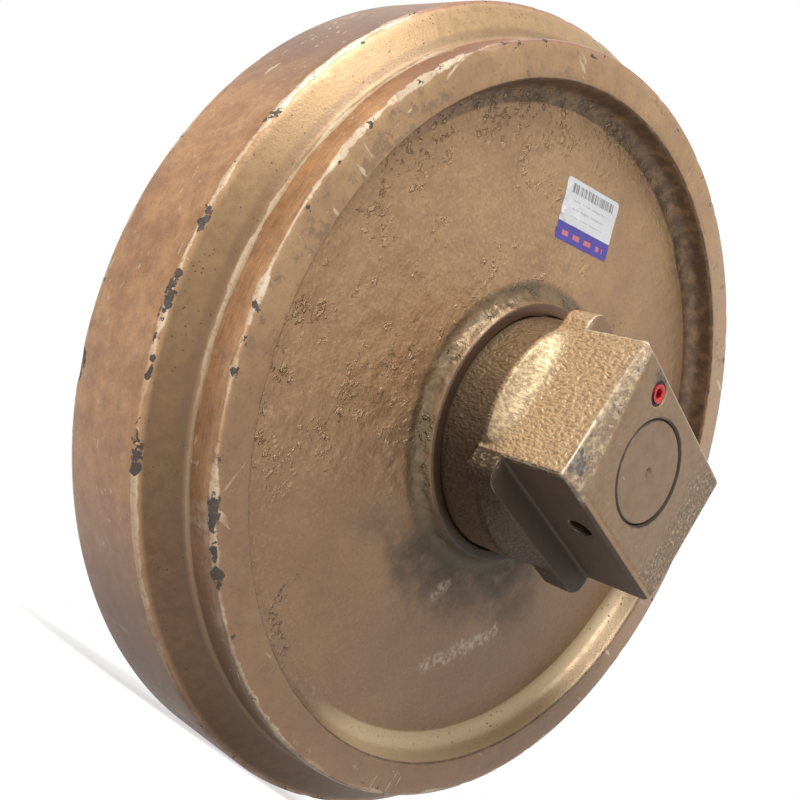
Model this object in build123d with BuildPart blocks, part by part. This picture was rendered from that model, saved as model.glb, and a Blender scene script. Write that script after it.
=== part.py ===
from build123d import *

import os
from math import atan, cos, degrees, pi, radians, sin, sqrt, tan

# Front idler of a small crawler excavator.
# Millimetres. The origin is the wheel's centre, Y runs along the axle, +Z is up and +X points back
# to the tensioner yoke. A "distance" is always measured along the axle from the wheel's middle plane.

# Wheel casting, outside
flange_radius = 270.0
flange_width = 65.5
flange_height = 22.5
flange_edge_chamfer = 3.0
flank_angle = 33.0
flank_root_fillet = 6.0
tread_edge_chamfer = 3.0
wheel_width = 142.5
rim_wall = 22.5
dish_depth = 18.5
dish_draft = 15.0
dish_fillet = 11.0
web_rise = 4.5
hub_step = 4.0
hub_ring_width = 6.5
hub_ring_edge_chamfer = 1.2
hub_root_draft = 25.0
hub_root_fillet = 9.0

# Wheel casting, inside: a cored hollow that opens into the oil chamber of the hub
web_thickness = 12.0
rim_thickness = 24.0
hub_tube_wall = 20.0
hollow_chamfer = 9.0
oil_chamber_depth = 3.5
core_window_diameter = 30.0
core_window_count = 3

# Axle
axle_diameter = 65.0
overall_length = 326.0
axle_end_chamfer = 1.0
centre_mark_diameter = 6.5

# Flanged bushes
bush_wall = 5.0
bush_length = 34.0
bush_flange_rise = 5.45
bush_flange_thickness = 4.0
bush_chamfer = 1.0
oil_groove_radius = 1.6
oil_groove_count = 4

# Fits
running_clearance = 0.05
seat_clearance = 0.02
end_play = 0.3
flange_recess_clearance = 0.5

# Face seals: two lapped metal rings, each carried by a rubber ring between two conical ramps
seal_ring_bore_clearance = 1.5
seal_face_width = 11.5
seal_face_thickness = 3.0
seal_neck_set_in = 3.5
seal_neck_start = 3.6
seal_ring_length = 9.0
ramp_slope = 2.0 / 5.4
rubber_section_radius = 3.6
rubber_clearance = 0.05
rubber_flats = 8
housing_back_clearance = 0.4
seal_film = 0.02
ring_back_clearance = 0.5

# Labyrinth between the hub and the bracket collar
collar_radius = 78.4
labyrinth_radial_gap = 1.6
labyrinth_axial_gap = 1.5
labyrinth_depth = 9.5
collar_edge_chamfer = 2.0

# Brackets
spigot_wall = 8.5
lip_clearance = 23.75
lip_thickness = 20.0
collar_shoulder_depth = 4.0
lip_half_height = 66.5
lip_corner_radius = 12.0
block_front = 64.5
block_rear = 78.0
block_half_height = 49.0
block_end_chamfer = 4.2
block_rear_chamfer = 1.5
relief_depth = 5.0
relief_width_top = 3.0
relief_width_bottom = 26.0
cove_length = 16.0
bore_mouth_chamfer = 1.0

# Axle O-rings
o_ring_setback = 8.0
o_ring_section_radius = 1.45
o_ring_groove_depth = 3.0
o_ring_groove_width = 4.0

# Lock pins, upright through bracket and axle
lock_pin_diameter = 15.0
lock_pin_recess = 9.0
lock_pin_chamfer = 1.5
lock_pin_setback = 20.5

# Oil filler in the end face of the left bracket
filler_offset = 7.1
filler_angle = 46.7
filler_seat_radius = 7.7
filler_seat_depth = 3.2
filler_thread_radius = 5.0
filler_thread_depth = 16.0
oil_passage_radius = 3.5
plug_head_radius = 5.8
plug_head_length = 3.0
plug_length = 13.0
plug_socket_across_flats = 6.0
plug_socket_depth = 6.0
plug_socket_chamfer = 0.6
plug_o_ring_section_radius = 0.85

# Tapped holes for the yoke bolts, in the rear face of each bracket
yoke_bolt_core_radius = 7.0
yoke_bolt_lead_in = 1.0
yoke_bolt_depth = 34.0
yoke_bolt_spacing = 66.0

# Worked out from the sizes above, from the wheel outwards
tread_radius = flange_radius - flange_height
rim_lip_radius = tread_radius - rim_wall
rim_face = wheel_width / 2
dish_floor = rim_face - dish_depth
hub_face = rim_face - hub_step
labyrinth_radius = collar_radius + labyrinth_radial_gap
hub_ring_radius = labyrinth_radius + hub_ring_width
labyrinth_floor = hub_face - labyrinth_depth
collar_end = labyrinth_floor + labyrinth_axial_gap
seal_plane = labyrinth_floor + labyrinth_axial_gap / 2

axle_radius = axle_diameter / 2
end_distance = overall_length / 2
spigot_radius = axle_radius + spigot_wall
bush_bore_radius = axle_radius + running_clearance
bush_outer_radius = bush_bore_radius + bush_wall
bush_flange_radius = bush_outer_radius + bush_flange_rise
bush_thrust_face = seal_plane - seal_ring_length - ring_back_clearance
bush_seat_face = bush_thrust_face - bush_flange_thickness
bush_inner_end = bush_seat_face - bush_length
hub_bore_radius = bush_outer_radius + seat_clearance
oil_chamber_radius = hub_bore_radius + oil_chamber_depth
hub_tube_radius = hub_bore_radius + hub_tube_wall
hollow_radius = tread_radius - rim_thickness
hollow_half_width = dish_floor - web_thickness
spigot_end = bush_thrust_face + end_play
bracket_bore_radius = axle_radius + seat_clearance

lip_back_distance = rim_face + lip_clearance
lip_face_distance = lip_back_distance + lip_thickness
collar_shoulder_distance = lip_back_distance + collar_shoulder_depth
o_ring_distance = collar_shoulder_distance + o_ring_setback
lock_pin_distance = end_distance - lock_pin_setback
lock_pin_length = 2 * (block_half_height - lock_pin_recess)
yoke_bolt_distance = (lip_face_distance + end_distance) / 2
filler_front = (spigot_radius + filler_offset) * cos(radians(filler_angle))
filler_height = (spigot_radius + filler_offset) * sin(radians(filler_angle))

# Cross-section of a rubber ring, which touches the ramp of its metal ring and that of its housing
seal_ring_bore_radius = spigot_radius + seal_ring_bore_clearance
seal_face_radius = seal_ring_bore_radius + seal_face_width
seal_neck_radius = seal_face_radius - seal_neck_set_in
ramp_length = sqrt(1 + ramp_slope**2)
ramp_middle = (seal_neck_start + seal_ring_length) / 2
ramp_middle_radius = seal_neck_radius - ramp_slope * (ramp_middle - seal_neck_start)
rubber_radius = ramp_middle_radius + rubber_section_radius / ramp_length
rubber_depth = ramp_middle + rubber_section_radius * ramp_slope / ramp_length
rubber_half_width = (rubber_section_radius - rubber_clearance) / cos(pi / rubber_flats)
housing_depth = rubber_depth + rubber_half_width + housing_back_clearance
hub_floor = seal_plane - housing_depth
collar_floor = seal_plane + housing_depth


def housing_radius(depth):
    """Radius of a housing's ramp at a depth behind the seal plane."""
    contact_radius = rubber_radius + rubber_section_radius / ramp_length
    contact_depth = rubber_depth + rubber_section_radius * ramp_slope / ramp_length
    return contact_radius - ramp_slope * (depth - contact_depth)


def outward(side, distance, x_dir=(1, 0, 0)):
    """Plane across the axle at a distance on one side, facing away from the wheel."""
    return Plane(origin=(0, side * distance, 0), x_dir=x_dir, z_dir=(0, side, 0))


def save(builder, name):
    """Label a finished piece and write it."""
    builder.part.label = name
    export_step(builder.part, f"parts/{name}.step")


def turned(points, side=1):
    """Solid turned about the axle from (radius, distance) points on one side of the wheel."""
    with BuildPart() as body:
        with BuildSketch(Plane.XY):
            with BuildLine():
                Polyline([(r, side * d) for r, d in points], close=True)
            make_face()
        revolve(axis=Axis.Y)
    return body


def rubber_ring(radius, distance, section_radius, flat_direction=0.0):
    """Squeezed rubber ring about the axle, its section pressed into flats; the angle turns the first flat."""
    with BuildPart() as ring:
        with BuildSketch(Plane.XY):
            with Locations((radius, distance)):
                turn = flat_direction - 180 / rubber_flats
                RegularPolygon(section_radius, rubber_flats, major_radius=False, rotation=turn)
        revolve(axis=Axis.Y)
    return ring


def corner(sketch, radius, distance):
    """The sketch's vertex nearest to a point given as radius and distance."""
    return sketch.vertices().sort_by_distance((radius, distance, 0))[0]


def wheel_half_section():
    """Solid section of the wheel from its middle plane to one rim face."""
    flank_top = flange_width / 2
    flank_foot = flank_top + (flange_radius - tread_radius) * tan(radians(flank_angle))
    dish_foot_radius = rim_lip_radius - dish_depth * tan(radians(dish_draft))
    web_top = dish_floor + web_rise
    hub_foot_radius = hub_ring_radius + (hub_face - web_top) * tan(radians(hub_root_draft))
    with BuildSketch(Plane.XY) as section:
        with BuildLine():
            Polyline(
                (oil_chamber_radius, 0),
                (flange_radius, 0),
                (flange_radius, flank_top),
                (tread_radius, flank_foot),
                (tread_radius, rim_face),
                (rim_lip_radius, rim_face),
                (dish_foot_radius, dish_floor),
                (hub_foot_radius, web_top),
                (hub_ring_radius, hub_face),
                (labyrinth_radius, hub_face),
                (labyrinth_radius, labyrinth_floor),
                (housing_radius(seal_plane - labyrinth_floor), labyrinth_floor),
                (housing_radius(housing_depth), hub_floor),
                (bush_flange_radius + flange_recess_clearance, hub_floor),
                (bush_flange_radius + flange_recess_clearance, bush_seat_face),
                (hub_bore_radius, bush_seat_face),
                (hub_bore_radius, bush_inner_end),
                (oil_chamber_radius, bush_inner_end),
                close=True,
            )
        make_face()
        fillet(corner(section, tread_radius, flank_foot), flank_root_fillet)
        fillet(corner(section, dish_foot_radius, dish_floor), dish_fillet)
        fillet(corner(section, hub_foot_radius, web_top), hub_root_fillet)
        chamfer(corner(section, hub_ring_radius, hub_face), hub_ring_edge_chamfer)
        chamfer(corner(section, flange_radius, flank_top), flange_edge_chamfer)
        chamfer(corner(section, tread_radius, rim_face), tread_edge_chamfer)
        mirror(about=Plane.XZ)
    return section


def idler_wheel():
    """Hollow cast wheel with its centre flange, dished webs, seal housings and core windows."""
    hollow_middle = (hollow_radius + hub_tube_radius) / 2
    with BuildPart() as wheel:
        add(wheel_half_section().sketch)
        revolve(axis=Axis.Y)
        with BuildSketch(Plane.XY) as hollow:
            with Locations((hollow_middle, 0)):
                Rectangle(hollow_radius - hub_tube_radius, 2 * hollow_half_width)
            chamfer(hollow.vertices(), hollow_chamfer)
        revolve(axis=Axis.Y, mode=Mode.SUBTRACT)
        for window in range(core_window_count):
            heading = Plane(origin=(0, 0, 0), z_dir=(0, 0, 1)).rotated((0, 360 * window / core_window_count, 0))
            with BuildSketch(heading):
                Circle(core_window_diameter / 2)
            extrude(amount=hollow_middle, mode=Mode.SUBTRACT)
    return wheel


def axle_shaft():
    """Plain axle with centre marks, O-ring grooves and a cross hole for each lock pin."""
    groove_radius = axle_radius - o_ring_groove_depth
    groove_start = o_ring_distance - o_ring_groove_width / 2
    groove_end = o_ring_distance + o_ring_groove_width / 2
    centre_mark_radius = centre_mark_diameter / 2
    with BuildPart() as axle:
        with BuildSketch(Plane.XY):
            with BuildLine():
                Polyline(
                    (0, 0),
                    (axle_radius, 0),
                    (axle_radius, groove_start),
                    (groove_radius, groove_start),
                    (groove_radius, groove_end),
                    (axle_radius, groove_end),
                    (axle_radius, end_distance - axle_end_chamfer),
                    (axle_radius - axle_end_chamfer, end_distance),
                    (centre_mark_radius, end_distance),
                    (0, end_distance - centre_mark_radius),
                    close=True,
                )
            make_face()
            mirror(about=Plane.XZ)
        revolve(axis=Axis.Y)
        with BuildSketch(Plane.XY):
            with Locations((0, lock_pin_distance), (0, -lock_pin_distance)):
                Circle(lock_pin_diameter / 2 + seat_clearance)
        extrude(amount=axle_diameter, both=True, mode=Mode.SUBTRACT)
    return axle


def bush(side):
    """Flanged plain bush with axial oil grooves."""
    groove_length = bush_length + bush_flange_thickness
    with BuildPart() as part:
        add(
            turned(
                [
                    (bush_bore_radius, bush_inner_end),
                    (bush_outer_radius - bush_chamfer, bush_inner_end),
                    (bush_outer_radius, bush_inner_end + bush_chamfer),
                    (bush_outer_radius, bush_seat_face),
                    (bush_flange_radius, bush_seat_face),
                    (bush_flange_radius, bush_thrust_face),
                    (bush_bore_radius, bush_thrust_face),
                ],
                side,
            ).part
        )
        with BuildSketch(outward(side, bush_inner_end)):
            with PolarLocations(bush_bore_radius, oil_groove_count, start_angle=45):
                Circle(oil_groove_radius)
        extrude(amount=groove_length, mode=Mode.SUBTRACT)
    return part


def seal_ring(side, inward):
    """Lapped metal seal ring; inward is -1 for the hub's ring and 1 for the bracket's."""
    neck_end_radius = seal_neck_radius - ramp_slope * (seal_ring_length - seal_neck_start)
    depths = [
        (seal_ring_bore_radius, seal_film / 2),
        (seal_face_radius, seal_film / 2),
        (seal_face_radius, seal_face_thickness),
        (seal_neck_radius, seal_neck_start),
        (neck_end_radius, seal_ring_length),
        (seal_ring_bore_radius, seal_ring_length),
    ]
    return turned([(r, seal_plane + inward * depth) for r, depth in depths], side)


def seal_toric(side, inward):
    """Rubber ring that carries a metal seal ring in its housing."""
    distance = side * (seal_plane + inward * rubber_depth)
    ramp_direction = side * inward * degrees(atan(ramp_slope))
    return rubber_ring(rubber_radius, distance, rubber_section_radius - rubber_clearance, ramp_direction)


def cove(side, direction, face, end, steps):
    """Blend from the collar's round edge to a flat side; steps are (share of length, share of overhang)."""
    half_width = sqrt(collar_radius**2 - face**2)
    overhang = collar_radius - face
    root = face - overhang / 2
    with BuildPart() as blend:
        for travel, share in steps:
            distance = collar_shoulder_distance + travel * (end - collar_shoulder_distance)
            with BuildSketch(outward(side, distance, direction)):
                with BuildLine():
                    Polyline((face, half_width), (root, half_width), (root, -half_width), (face, -half_width))
                    ThreePointArc((face, -half_width), (face + share * overhang, 0), (face, half_width))
                make_face()
        loft(ruled=len(steps) == 2)
    return blend


def corner_relief(side):
    """Wedge ground off the corner between the front face and the end face, wider towards the bottom."""
    with BuildPart() as wedge:
        for height, width in ((block_half_height, relief_width_top), (-block_half_height, relief_width_bottom)):
            with BuildSketch(Plane.XY.offset(height)):
                with BuildLine():
                    Polyline(
                        (-block_front, side * end_distance),
                        (-block_front, side * (end_distance - relief_depth)),
                        (width - block_front, side * end_distance),
                        close=True,
                    )
                make_face()
        loft(ruled=True)
    return wedge


def bracket_body(side):
    """Casting of one bracket: collar with its seal housing, lip plate, guide block and coves."""
    block_middle = (block_rear - block_front) / 2
    block_depth = block_rear + block_front
    with BuildPart() as body:
        add(
            turned(
                [
                    (0, spigot_end),
                    (spigot_radius, spigot_end),
                    (spigot_radius, collar_floor),
                    (housing_radius(housing_depth), collar_floor),
                    (housing_radius(collar_end - seal_plane), collar_end),
                    (collar_radius - collar_edge_chamfer, collar_end),
                    (collar_radius, collar_end + collar_edge_chamfer),
                    (collar_radius, collar_shoulder_distance),
                    (0, collar_shoulder_distance),
                ],
                side,
            ).part
        )
        with BuildSketch(outward(side, lip_back_distance)):
            with Locations((block_middle, 0)):
                RectangleRounded(block_depth, 2 * lip_half_height, lip_corner_radius)
        extrude(amount=lip_face_distance - lip_back_distance)
        with BuildSketch(outward(side, lip_face_distance)):
            with Locations((block_middle, 0)):
                Rectangle(block_depth, 2 * block_half_height)
        extrude(amount=end_distance - lip_face_distance)
        end_edges = body.faces().sort_by(Axis.Y)[-1 if side > 0 else 0].edges()
        chamfer(end_edges.filter_by(Axis.X), block_end_chamfer)
        end_edges = body.faces().sort_by(Axis.Y)[-1 if side > 0 else 0].edges()
        chamfer(end_edges.filter_by(Axis.Z).sort_by(Axis.X)[-1], block_rear_chamfer)
        hollow_steps = ((0.0, 1.0), (0.4, 0.36), (1.0, 0.02))
        if collar_radius > block_front:
            cove_end = collar_shoulder_distance + cove_length
            add(cove(side, (-1, 0, 0), block_front, cove_end, hollow_steps).part)
        if collar_radius > lip_half_height:
            straight_steps = ((0.0, 1.0), (1.0, 0.02))
            for direction in ((0, 0, 1), (0, 0, -1)):
                add(cove(side, direction, lip_half_height, lip_face_distance, straight_steps).part)
        add(corner_relief(side).part, mode=Mode.SUBTRACT)
    return body


def drill(side, radius, start, end, x=0.0, z=0.0):
    """Round cutter along the axle's direction between two distances on one side."""
    with BuildPart() as cutter:
        with BuildSketch(Plane(origin=(x, side * start, z), x_dir=(1, 0, 0), z_dir=(0, side, 0))):
            Circle(radius)
        extrude(amount=end - start)
    return cutter


def bracket(side, with_filler):
    """Machined bracket: axle bore, lock pin hole, tapped yoke holes and, on one side, the oil filler."""
    with BuildPart() as part:
        add(bracket_body(side).part)
        add(drill(side, bracket_bore_radius, spigot_end, end_distance).part, mode=Mode.SUBTRACT)
        mouth = part.edges().filter_by(GeomType.CIRCLE).filter_by(
            lambda edge: abs(edge.radius - bracket_bore_radius) < seat_clearance
        )
        chamfer(mouth.sort_by(Axis.Y)[-1 if side > 0 else 0], bore_mouth_chamfer)
        with BuildSketch(Plane.XY):
            with Locations((0, side * lock_pin_distance)):
                Circle(lock_pin_diameter / 2 + seat_clearance)
        extrude(amount=block_half_height, both=True, mode=Mode.SUBTRACT)
        rear_face = Plane(origin=(block_rear, side * yoke_bolt_distance, 0), x_dir=(0, 1, 0), z_dir=(1, 0, 0))
        with Locations(rear_face.location):
            with Locations((0, yoke_bolt_spacing / 2), (0, -yoke_bolt_spacing / 2)):
                lead_in_radius = yoke_bolt_core_radius + yoke_bolt_lead_in
                CounterSinkHole(yoke_bolt_core_radius, lead_in_radius, yoke_bolt_depth, counter_sink_angle=90)
        if with_filler:
            for radius, start in (
                (filler_seat_radius, end_distance - filler_seat_depth),
                (filler_thread_radius, end_distance - filler_thread_depth),
                (oil_passage_radius, collar_floor),
            ):
                cutter = drill(side, radius, start, end_distance, -filler_front, filler_height)
                add(cutter.part, mode=Mode.SUBTRACT)
    return part


def lock_pin(side):
    """Chamfered pin that locks the axle to a bracket."""
    with BuildPart() as pin:
        with BuildSketch(Plane.XY):
            with Locations((0, side * lock_pin_distance)):
                Circle(lock_pin_diameter / 2)
        extrude(amount=lock_pin_length / 2, both=True)
        chamfer(pin.edges().filter_by(GeomType.CIRCLE), lock_pin_chamfer)
    return pin


def filler_frame(side):
    """Plane at the filler's mouth, facing out of the bracket."""
    return Plane(origin=(-filler_front, side * end_distance, filler_height), x_dir=(1, 0, 0), z_dir=(0, side, 0))


def oil_plug(side):
    """Screw plug with a hexagon socket."""
    frame = filler_frame(side)
    shank_radius = filler_thread_radius - seat_clearance
    with BuildPart() as plug:
        with BuildSketch(frame.offset(-plug_head_length)):
            Circle(plug_head_radius)
        extrude(amount=plug_head_length)
        with BuildSketch(frame.offset(-plug_length)):
            Circle(shank_radius)
        extrude(amount=plug_length - plug_head_length)
        with BuildSketch(frame.offset(-plug_socket_depth)):
            RegularPolygon(plug_socket_across_flats / 2, 6, major_radius=False)
        extrude(amount=plug_socket_depth, mode=Mode.SUBTRACT)
        mouth = plug.faces().sort_by(Axis.Y)[-1 if side > 0 else 0].edges().filter_by(GeomType.LINE)
        chamfer(mouth, plug_socket_chamfer)
    return plug


def oil_plug_o_ring(side):
    """Rubber ring in the filler's seat, round the plug's head."""
    middle_radius = (plug_head_radius + filler_seat_radius) / 2
    middle = filler_frame(side).offset(-filler_seat_depth / 2).origin
    with BuildPart() as ring:
        with BuildSketch(Plane(origin=middle, x_dir=(1, 0, 0), z_dir=(0, 0, 1))):
            with Locations((middle_radius, 0)):
                RegularPolygon(plug_o_ring_section_radius, rubber_flats, major_radius=False)
        revolve(axis=Axis(middle, (0, 1, 0)))
    return ring


def main():
    os.makedirs("parts", exist_ok=True)
    save(idler_wheel(), "idler_wheel")
    save(axle_shaft(), "axle_shaft")
    o_ring_radius = axle_radius - o_ring_groove_depth + o_ring_section_radius + seat_clearance
    for name, side in (("left", -1), ("right", 1)):
        save(bracket(side, with_filler=name == "left"), f"bracket_{name}")
        save(bush(side), f"bush_{name}")
        save(lock_pin(side), f"lock_pin_{name}")
        save(rubber_ring(o_ring_radius, side * o_ring_distance, o_ring_section_radius), f"axle_o_ring_{name}")
        for carrier, inward in (("hub", -1), ("bracket", 1)):
            save(seal_ring(side, inward), f"seal_ring_{carrier}_{name}")
            save(seal_toric(side, inward), f"seal_toric_{carrier}_{name}")
    save(oil_plug(-1), "oil_plug")
    save(oil_plug_o_ring(-1), "oil_plug_o_ring")


main()
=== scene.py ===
"""Front idler of a small crawler excavator on a white studio floor.

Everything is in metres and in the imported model's frame: Y along the axle, Z up, X back to the yoke.
"Distance" means distance along the axle from the wheel's middle plane, and "side" is -1 for the left
bracket's side and 1 for the right one's.
"""

import functools
import logging
import math
from collections.abc import Iterable
from dataclasses import dataclass, field
from enum import Enum
from typing import Any

import bpy
import numpy as np
from mathutils import Matrix, Vector, noise

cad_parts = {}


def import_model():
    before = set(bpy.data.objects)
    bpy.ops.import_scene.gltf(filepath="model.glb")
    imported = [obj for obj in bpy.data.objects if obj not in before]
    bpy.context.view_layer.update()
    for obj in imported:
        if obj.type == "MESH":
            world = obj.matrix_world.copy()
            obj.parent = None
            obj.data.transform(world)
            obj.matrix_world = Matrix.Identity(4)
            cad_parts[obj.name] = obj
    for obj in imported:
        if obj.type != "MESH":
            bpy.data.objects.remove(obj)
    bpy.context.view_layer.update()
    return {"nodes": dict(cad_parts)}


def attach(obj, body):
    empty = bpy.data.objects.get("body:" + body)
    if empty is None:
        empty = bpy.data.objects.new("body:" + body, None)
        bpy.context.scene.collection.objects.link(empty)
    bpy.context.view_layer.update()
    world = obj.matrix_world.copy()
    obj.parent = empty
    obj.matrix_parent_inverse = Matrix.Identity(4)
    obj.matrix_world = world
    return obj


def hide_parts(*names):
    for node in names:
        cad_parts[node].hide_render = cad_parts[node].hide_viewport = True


Colour = tuple[float, float, float]
Point = tuple[float, float, float]
Pair = tuple[float, float]
Socket = Any

log = logging.getLogger("idler")


def srgb(red: int, green: int, blue: int) -> Colour:
    """Turn an eight-bit screen colour into the linear colour that a shader takes.

    Args:
        red: Red, 0 to 255.
        green: Green, 0 to 255.
        blue: Blue, 0 to 255.

    Returns:
        The linear colour.
    """

    def linear(value: int) -> float:
        """Take the screen curve off one channel."""
        share = value / 255
        return share / 12.92 if share <= 0.04045 else ((share + 0.055) / 1.055) ** 2.4

    return (linear(red), linear(green), linear(blue))


def ease(value: np.ndarray, low: float, high: float) -> np.ndarray:
    """Ease from 0 to 1 while values go from low to high.

    Args:
        value: The values.
        low: Where the result is 0.
        high: Where the result is 1.

    Returns:
        The eased shares.
    """
    share = np.clip((value - low) / (high - low), 0.0, 1.0)
    return share * share * (3 - 2 * share)


class Side(Enum):
    """The two ends of the axle."""

    LEFT = -1
    RIGHT = 1


class Graph:
    """Node tree of one material, with short calls for the nodes used here."""

    def __init__(self, name: str) -> None:
        """Start an empty material.

        Args:
            name: The material's name.
        """
        self.material = bpy.data.materials.new(name)
        self.material.use_nodes = True
        self.tree = self.material.node_tree
        self.tree.nodes.clear()
        self.place = self.add("ShaderNodeTexCoord").outputs["Object"]

    def add(self, kind: str, **settings: Any) -> bpy.types.Node:
        """Add a node.

        Args:
            kind: The node's type name.
            **settings: Attributes to set on it.

        Returns:
            The new node.
        """
        node = self.tree.nodes.new(kind)
        for key, value in settings.items():
            setattr(node, key, value)
        return node

    def feed(self, socket: Socket, value: Any) -> None:
        """Link an output to an input, or set the input to a number or colour.

        Args:
            socket: The input.
            value: An output socket, a number or a colour.
        """
        if isinstance(value, bpy.types.NodeSocket):
            self.tree.links.new(value, socket)
        elif isinstance(value, tuple) and len(value) == 3 and socket.type == "RGBA":
            socket.default_value = (*value, 1.0)
        else:
            socket.default_value = value

    def math(self, operation: str, first: Any, second: Any = 0.0) -> Socket:
        """Do arithmetic on one or two values.

        Args:
            operation: The Math node's operation.
            first: First value.
            second: Second value.

        Returns:
            The result.
        """
        node = self.add("ShaderNodeMath", operation=operation)
        self.feed(node.inputs[0], first)
        self.feed(node.inputs[1], second)
        return node.outputs[0]

    def times(self, *values: Any) -> Socket:
        """Multiply several values."""
        return functools.reduce(functools.partial(self.math, "MULTIPLY"), values)

    def plus(self, *values: Any) -> Socket:
        """Add several values."""
        return functools.reduce(functools.partial(self.math, "ADD"), values)

    def over(self, *values: Any) -> Socket:
        """Take the largest of several values."""
        return functools.reduce(functools.partial(self.math, "MAXIMUM"), values)

    def rest(self, share: Any) -> Socket:
        """What is left of 1 beside a share."""
        return self.math("SUBTRACT", 1.0, share)

    def length(self, first: Socket, second: Socket) -> Socket:
        """Length of the slanting side over two square ones."""
        return self.math("SQRT", self.plus(self.times(first, first), self.times(second, second)))

    def ripple(self, wave: Socket, reach: float) -> Socket:
        """Turn noise of about 0.5 into a shift to either side of 0."""
        return self.times(self.math("SUBTRACT", wave, 0.5), reach)

    def step(self, value: Any, low: float, high: float) -> Socket:
        """Ease from 0 to 1 while a value goes from low to high, which may be the smaller one.

        Args:
            value: The value.
            low: Where the result is 0.
            high: Where the result is 1.

        Returns:
            The eased share.
        """
        node = self.add("ShaderNodeMapRange", interpolation_type="SMOOTHSTEP")
        self.feed(node.inputs["Value"], value)
        start, end = (low, high) if low < high else (high, low)
        node.inputs["From Min"].default_value = start
        node.inputs["From Max"].default_value = end
        if low > high:
            node.inputs["To Min"].default_value = 1.0
            node.inputs["To Max"].default_value = 0.0
        return node.outputs["Result"]

    def noise(self, size: float, detail: float = 4.0, roughness: float = 0.55, place: Any = None) -> Socket:
        """Soft noise with lumps of about a given size.

        Args:
            size: Size of a lump in metres.
            detail: Octaves of finer noise.
            roughness: Strength of the finer noise.
            place: Coordinates, the object's own by default.

        Returns:
            The noise, about 0.5 on average.
        """
        node = self.add("ShaderNodeTexNoise")
        self.feed(node.inputs["Vector"], place or self.place)
        node.inputs["Scale"].default_value = 1 / size
        node.inputs["Detail"].default_value = detail
        node.inputs["Roughness"].default_value = roughness
        return node.outputs["Fac"]

    def patches(
        self,
        size: float,
        low: float,
        high: float,
        detail: float = 4.0,
        roughness: float = 0.55,
        place: Any = None,
    ) -> Socket:
        """Soft noise eased from 0 to 1, for patches with soft outlines.

        Args:
            size: Size of a patch in metres.
            low: Noise where the result is 0.
            high: Noise where the result is 1.
            detail: Octaves of finer noise.
            roughness: Strength of the finer noise.
            place: Coordinates, the object's own by default.

        Returns:
            The share.
        """
        return self.step(self.noise(size, detail, roughness, place), low, high)

    def pits(self, size: float, place: Any = None) -> Socket:
        """Distance to the nearest of scattered points, as a share of their spacing.

        Args:
            size: Spacing of the points in metres.
            place: Coordinates, the object's own by default.

        Returns:
            The distance.
        """
        node = self.add("ShaderNodeTexVoronoi")
        self.feed(node.inputs["Vector"], place or self.place)
        node.inputs["Scale"].default_value = 1 / size
        return node.outputs["Distance"]

    def stretched(self, x: float, y: float, z: float) -> Socket:
        """Scale the object's coordinates, for a pattern that runs one way.

        Args:
            x: Scale along X.
            y: Scale along Y.
            z: Scale along Z.

        Returns:
            The coordinates.
        """
        node = self.add("ShaderNodeMapping")
        self.feed(node.inputs["Vector"], self.place)
        node.inputs["Scale"].default_value = (x, y, z)
        return node.outputs["Vector"]

    def wavy(self, size: float, shift: float) -> Socket:
        """The object's coordinates, pushed about by soft noise.

        Args:
            size: Size of the waves in metres.
            shift: How far they push in metres.

        Returns:
            The coordinates.
        """
        waves = self.add("ShaderNodeTexNoise")
        self.feed(waves.inputs["Vector"], self.place)
        waves.inputs["Scale"].default_value = 1 / size
        waves.inputs["Detail"].default_value = 1.0
        push = self.add("ShaderNodeVectorMath", operation="MULTIPLY_ADD")
        self.feed(push.inputs[0], waves.outputs["Color"])
        push.inputs[1].default_value = (shift, shift, shift)
        self.feed(push.inputs[2], self.place)
        return push.outputs[0]

    def painted(self, name: str) -> Socket:
        """A share that is stored at the piece's own points."""
        return self.add("ShaderNodeAttribute", attribute_name=name).outputs["Fac"]

    def axes(self) -> tuple[Socket, Socket, Socket]:
        """Part the object's coordinates.

        Returns:
            X, Y and Z.
        """
        node = self.add("ShaderNodeSeparateXYZ")
        self.feed(node.inputs[0], self.place)
        return tuple(node.outputs)

    def turned(self) -> tuple[Socket, Socket]:
        """Radius from the axle's axis, and distance from the middle plane."""
        x, y, z = self.axes()
        return self.length(x, z), self.math("ABSOLUTE", y)

    def toward(self, direction: Pair) -> Socket:
        """How far a point lies toward a direction, given by its X and Z shares."""
        x, _, z = self.axes()
        return self.plus(self.times(x, direction[0]), self.times(z, direction[1]))

    def band(self, value: Socket, low: float, high: float, soft: float) -> Socket:
        """1 between two values and 0 outside them, with soft ends.

        Args:
            value: The value.
            low: Lower end.
            high: Upper end.
            soft: Width of each soft end.

        Returns:
            The share.
        """
        rise = self.step(value, low - soft, low + soft)
        return self.times(rise, self.step(value, high + soft, high - soft))

    def mix(self, share: Any, first: Any, second: Any) -> Socket:
        """Blend two colours.

        Args:
            share: 0 for the first, 1 for the second.
            first: First colour.
            second: Second colour.

        Returns:
            The blend.
        """
        node = self.add("ShaderNodeMix", data_type="RGBA")
        self.feed(node.inputs[0], share)
        self.feed(node.inputs[6], first)
        self.feed(node.inputs[7], second)
        return node.outputs[2]

    def lay(self, under: Any, over: Any, *shares: Any) -> Socket:
        """Lay one colour over another.

        Args:
            under: Colour below.
            over: Colour on top.
            *shares: Shares whose product tells how much of the top shows.

        Returns:
            The new colour.
        """
        return self.mix(self.times(*shares), under, over)

    def blend(self, share: Any, first: Any, second: Any) -> Socket:
        """Blend two numbers.

        Args:
            share: 0 for the first, 1 for the second.
            first: First number.
            second: Second number.

        Returns:
            The blend.
        """
        node = self.add("ShaderNodeMix", data_type="FLOAT")
        self.feed(node.inputs[0], share)
        self.feed(node.inputs[2], first)
        self.feed(node.inputs[3], second)
        return node.outputs[0]

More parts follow.
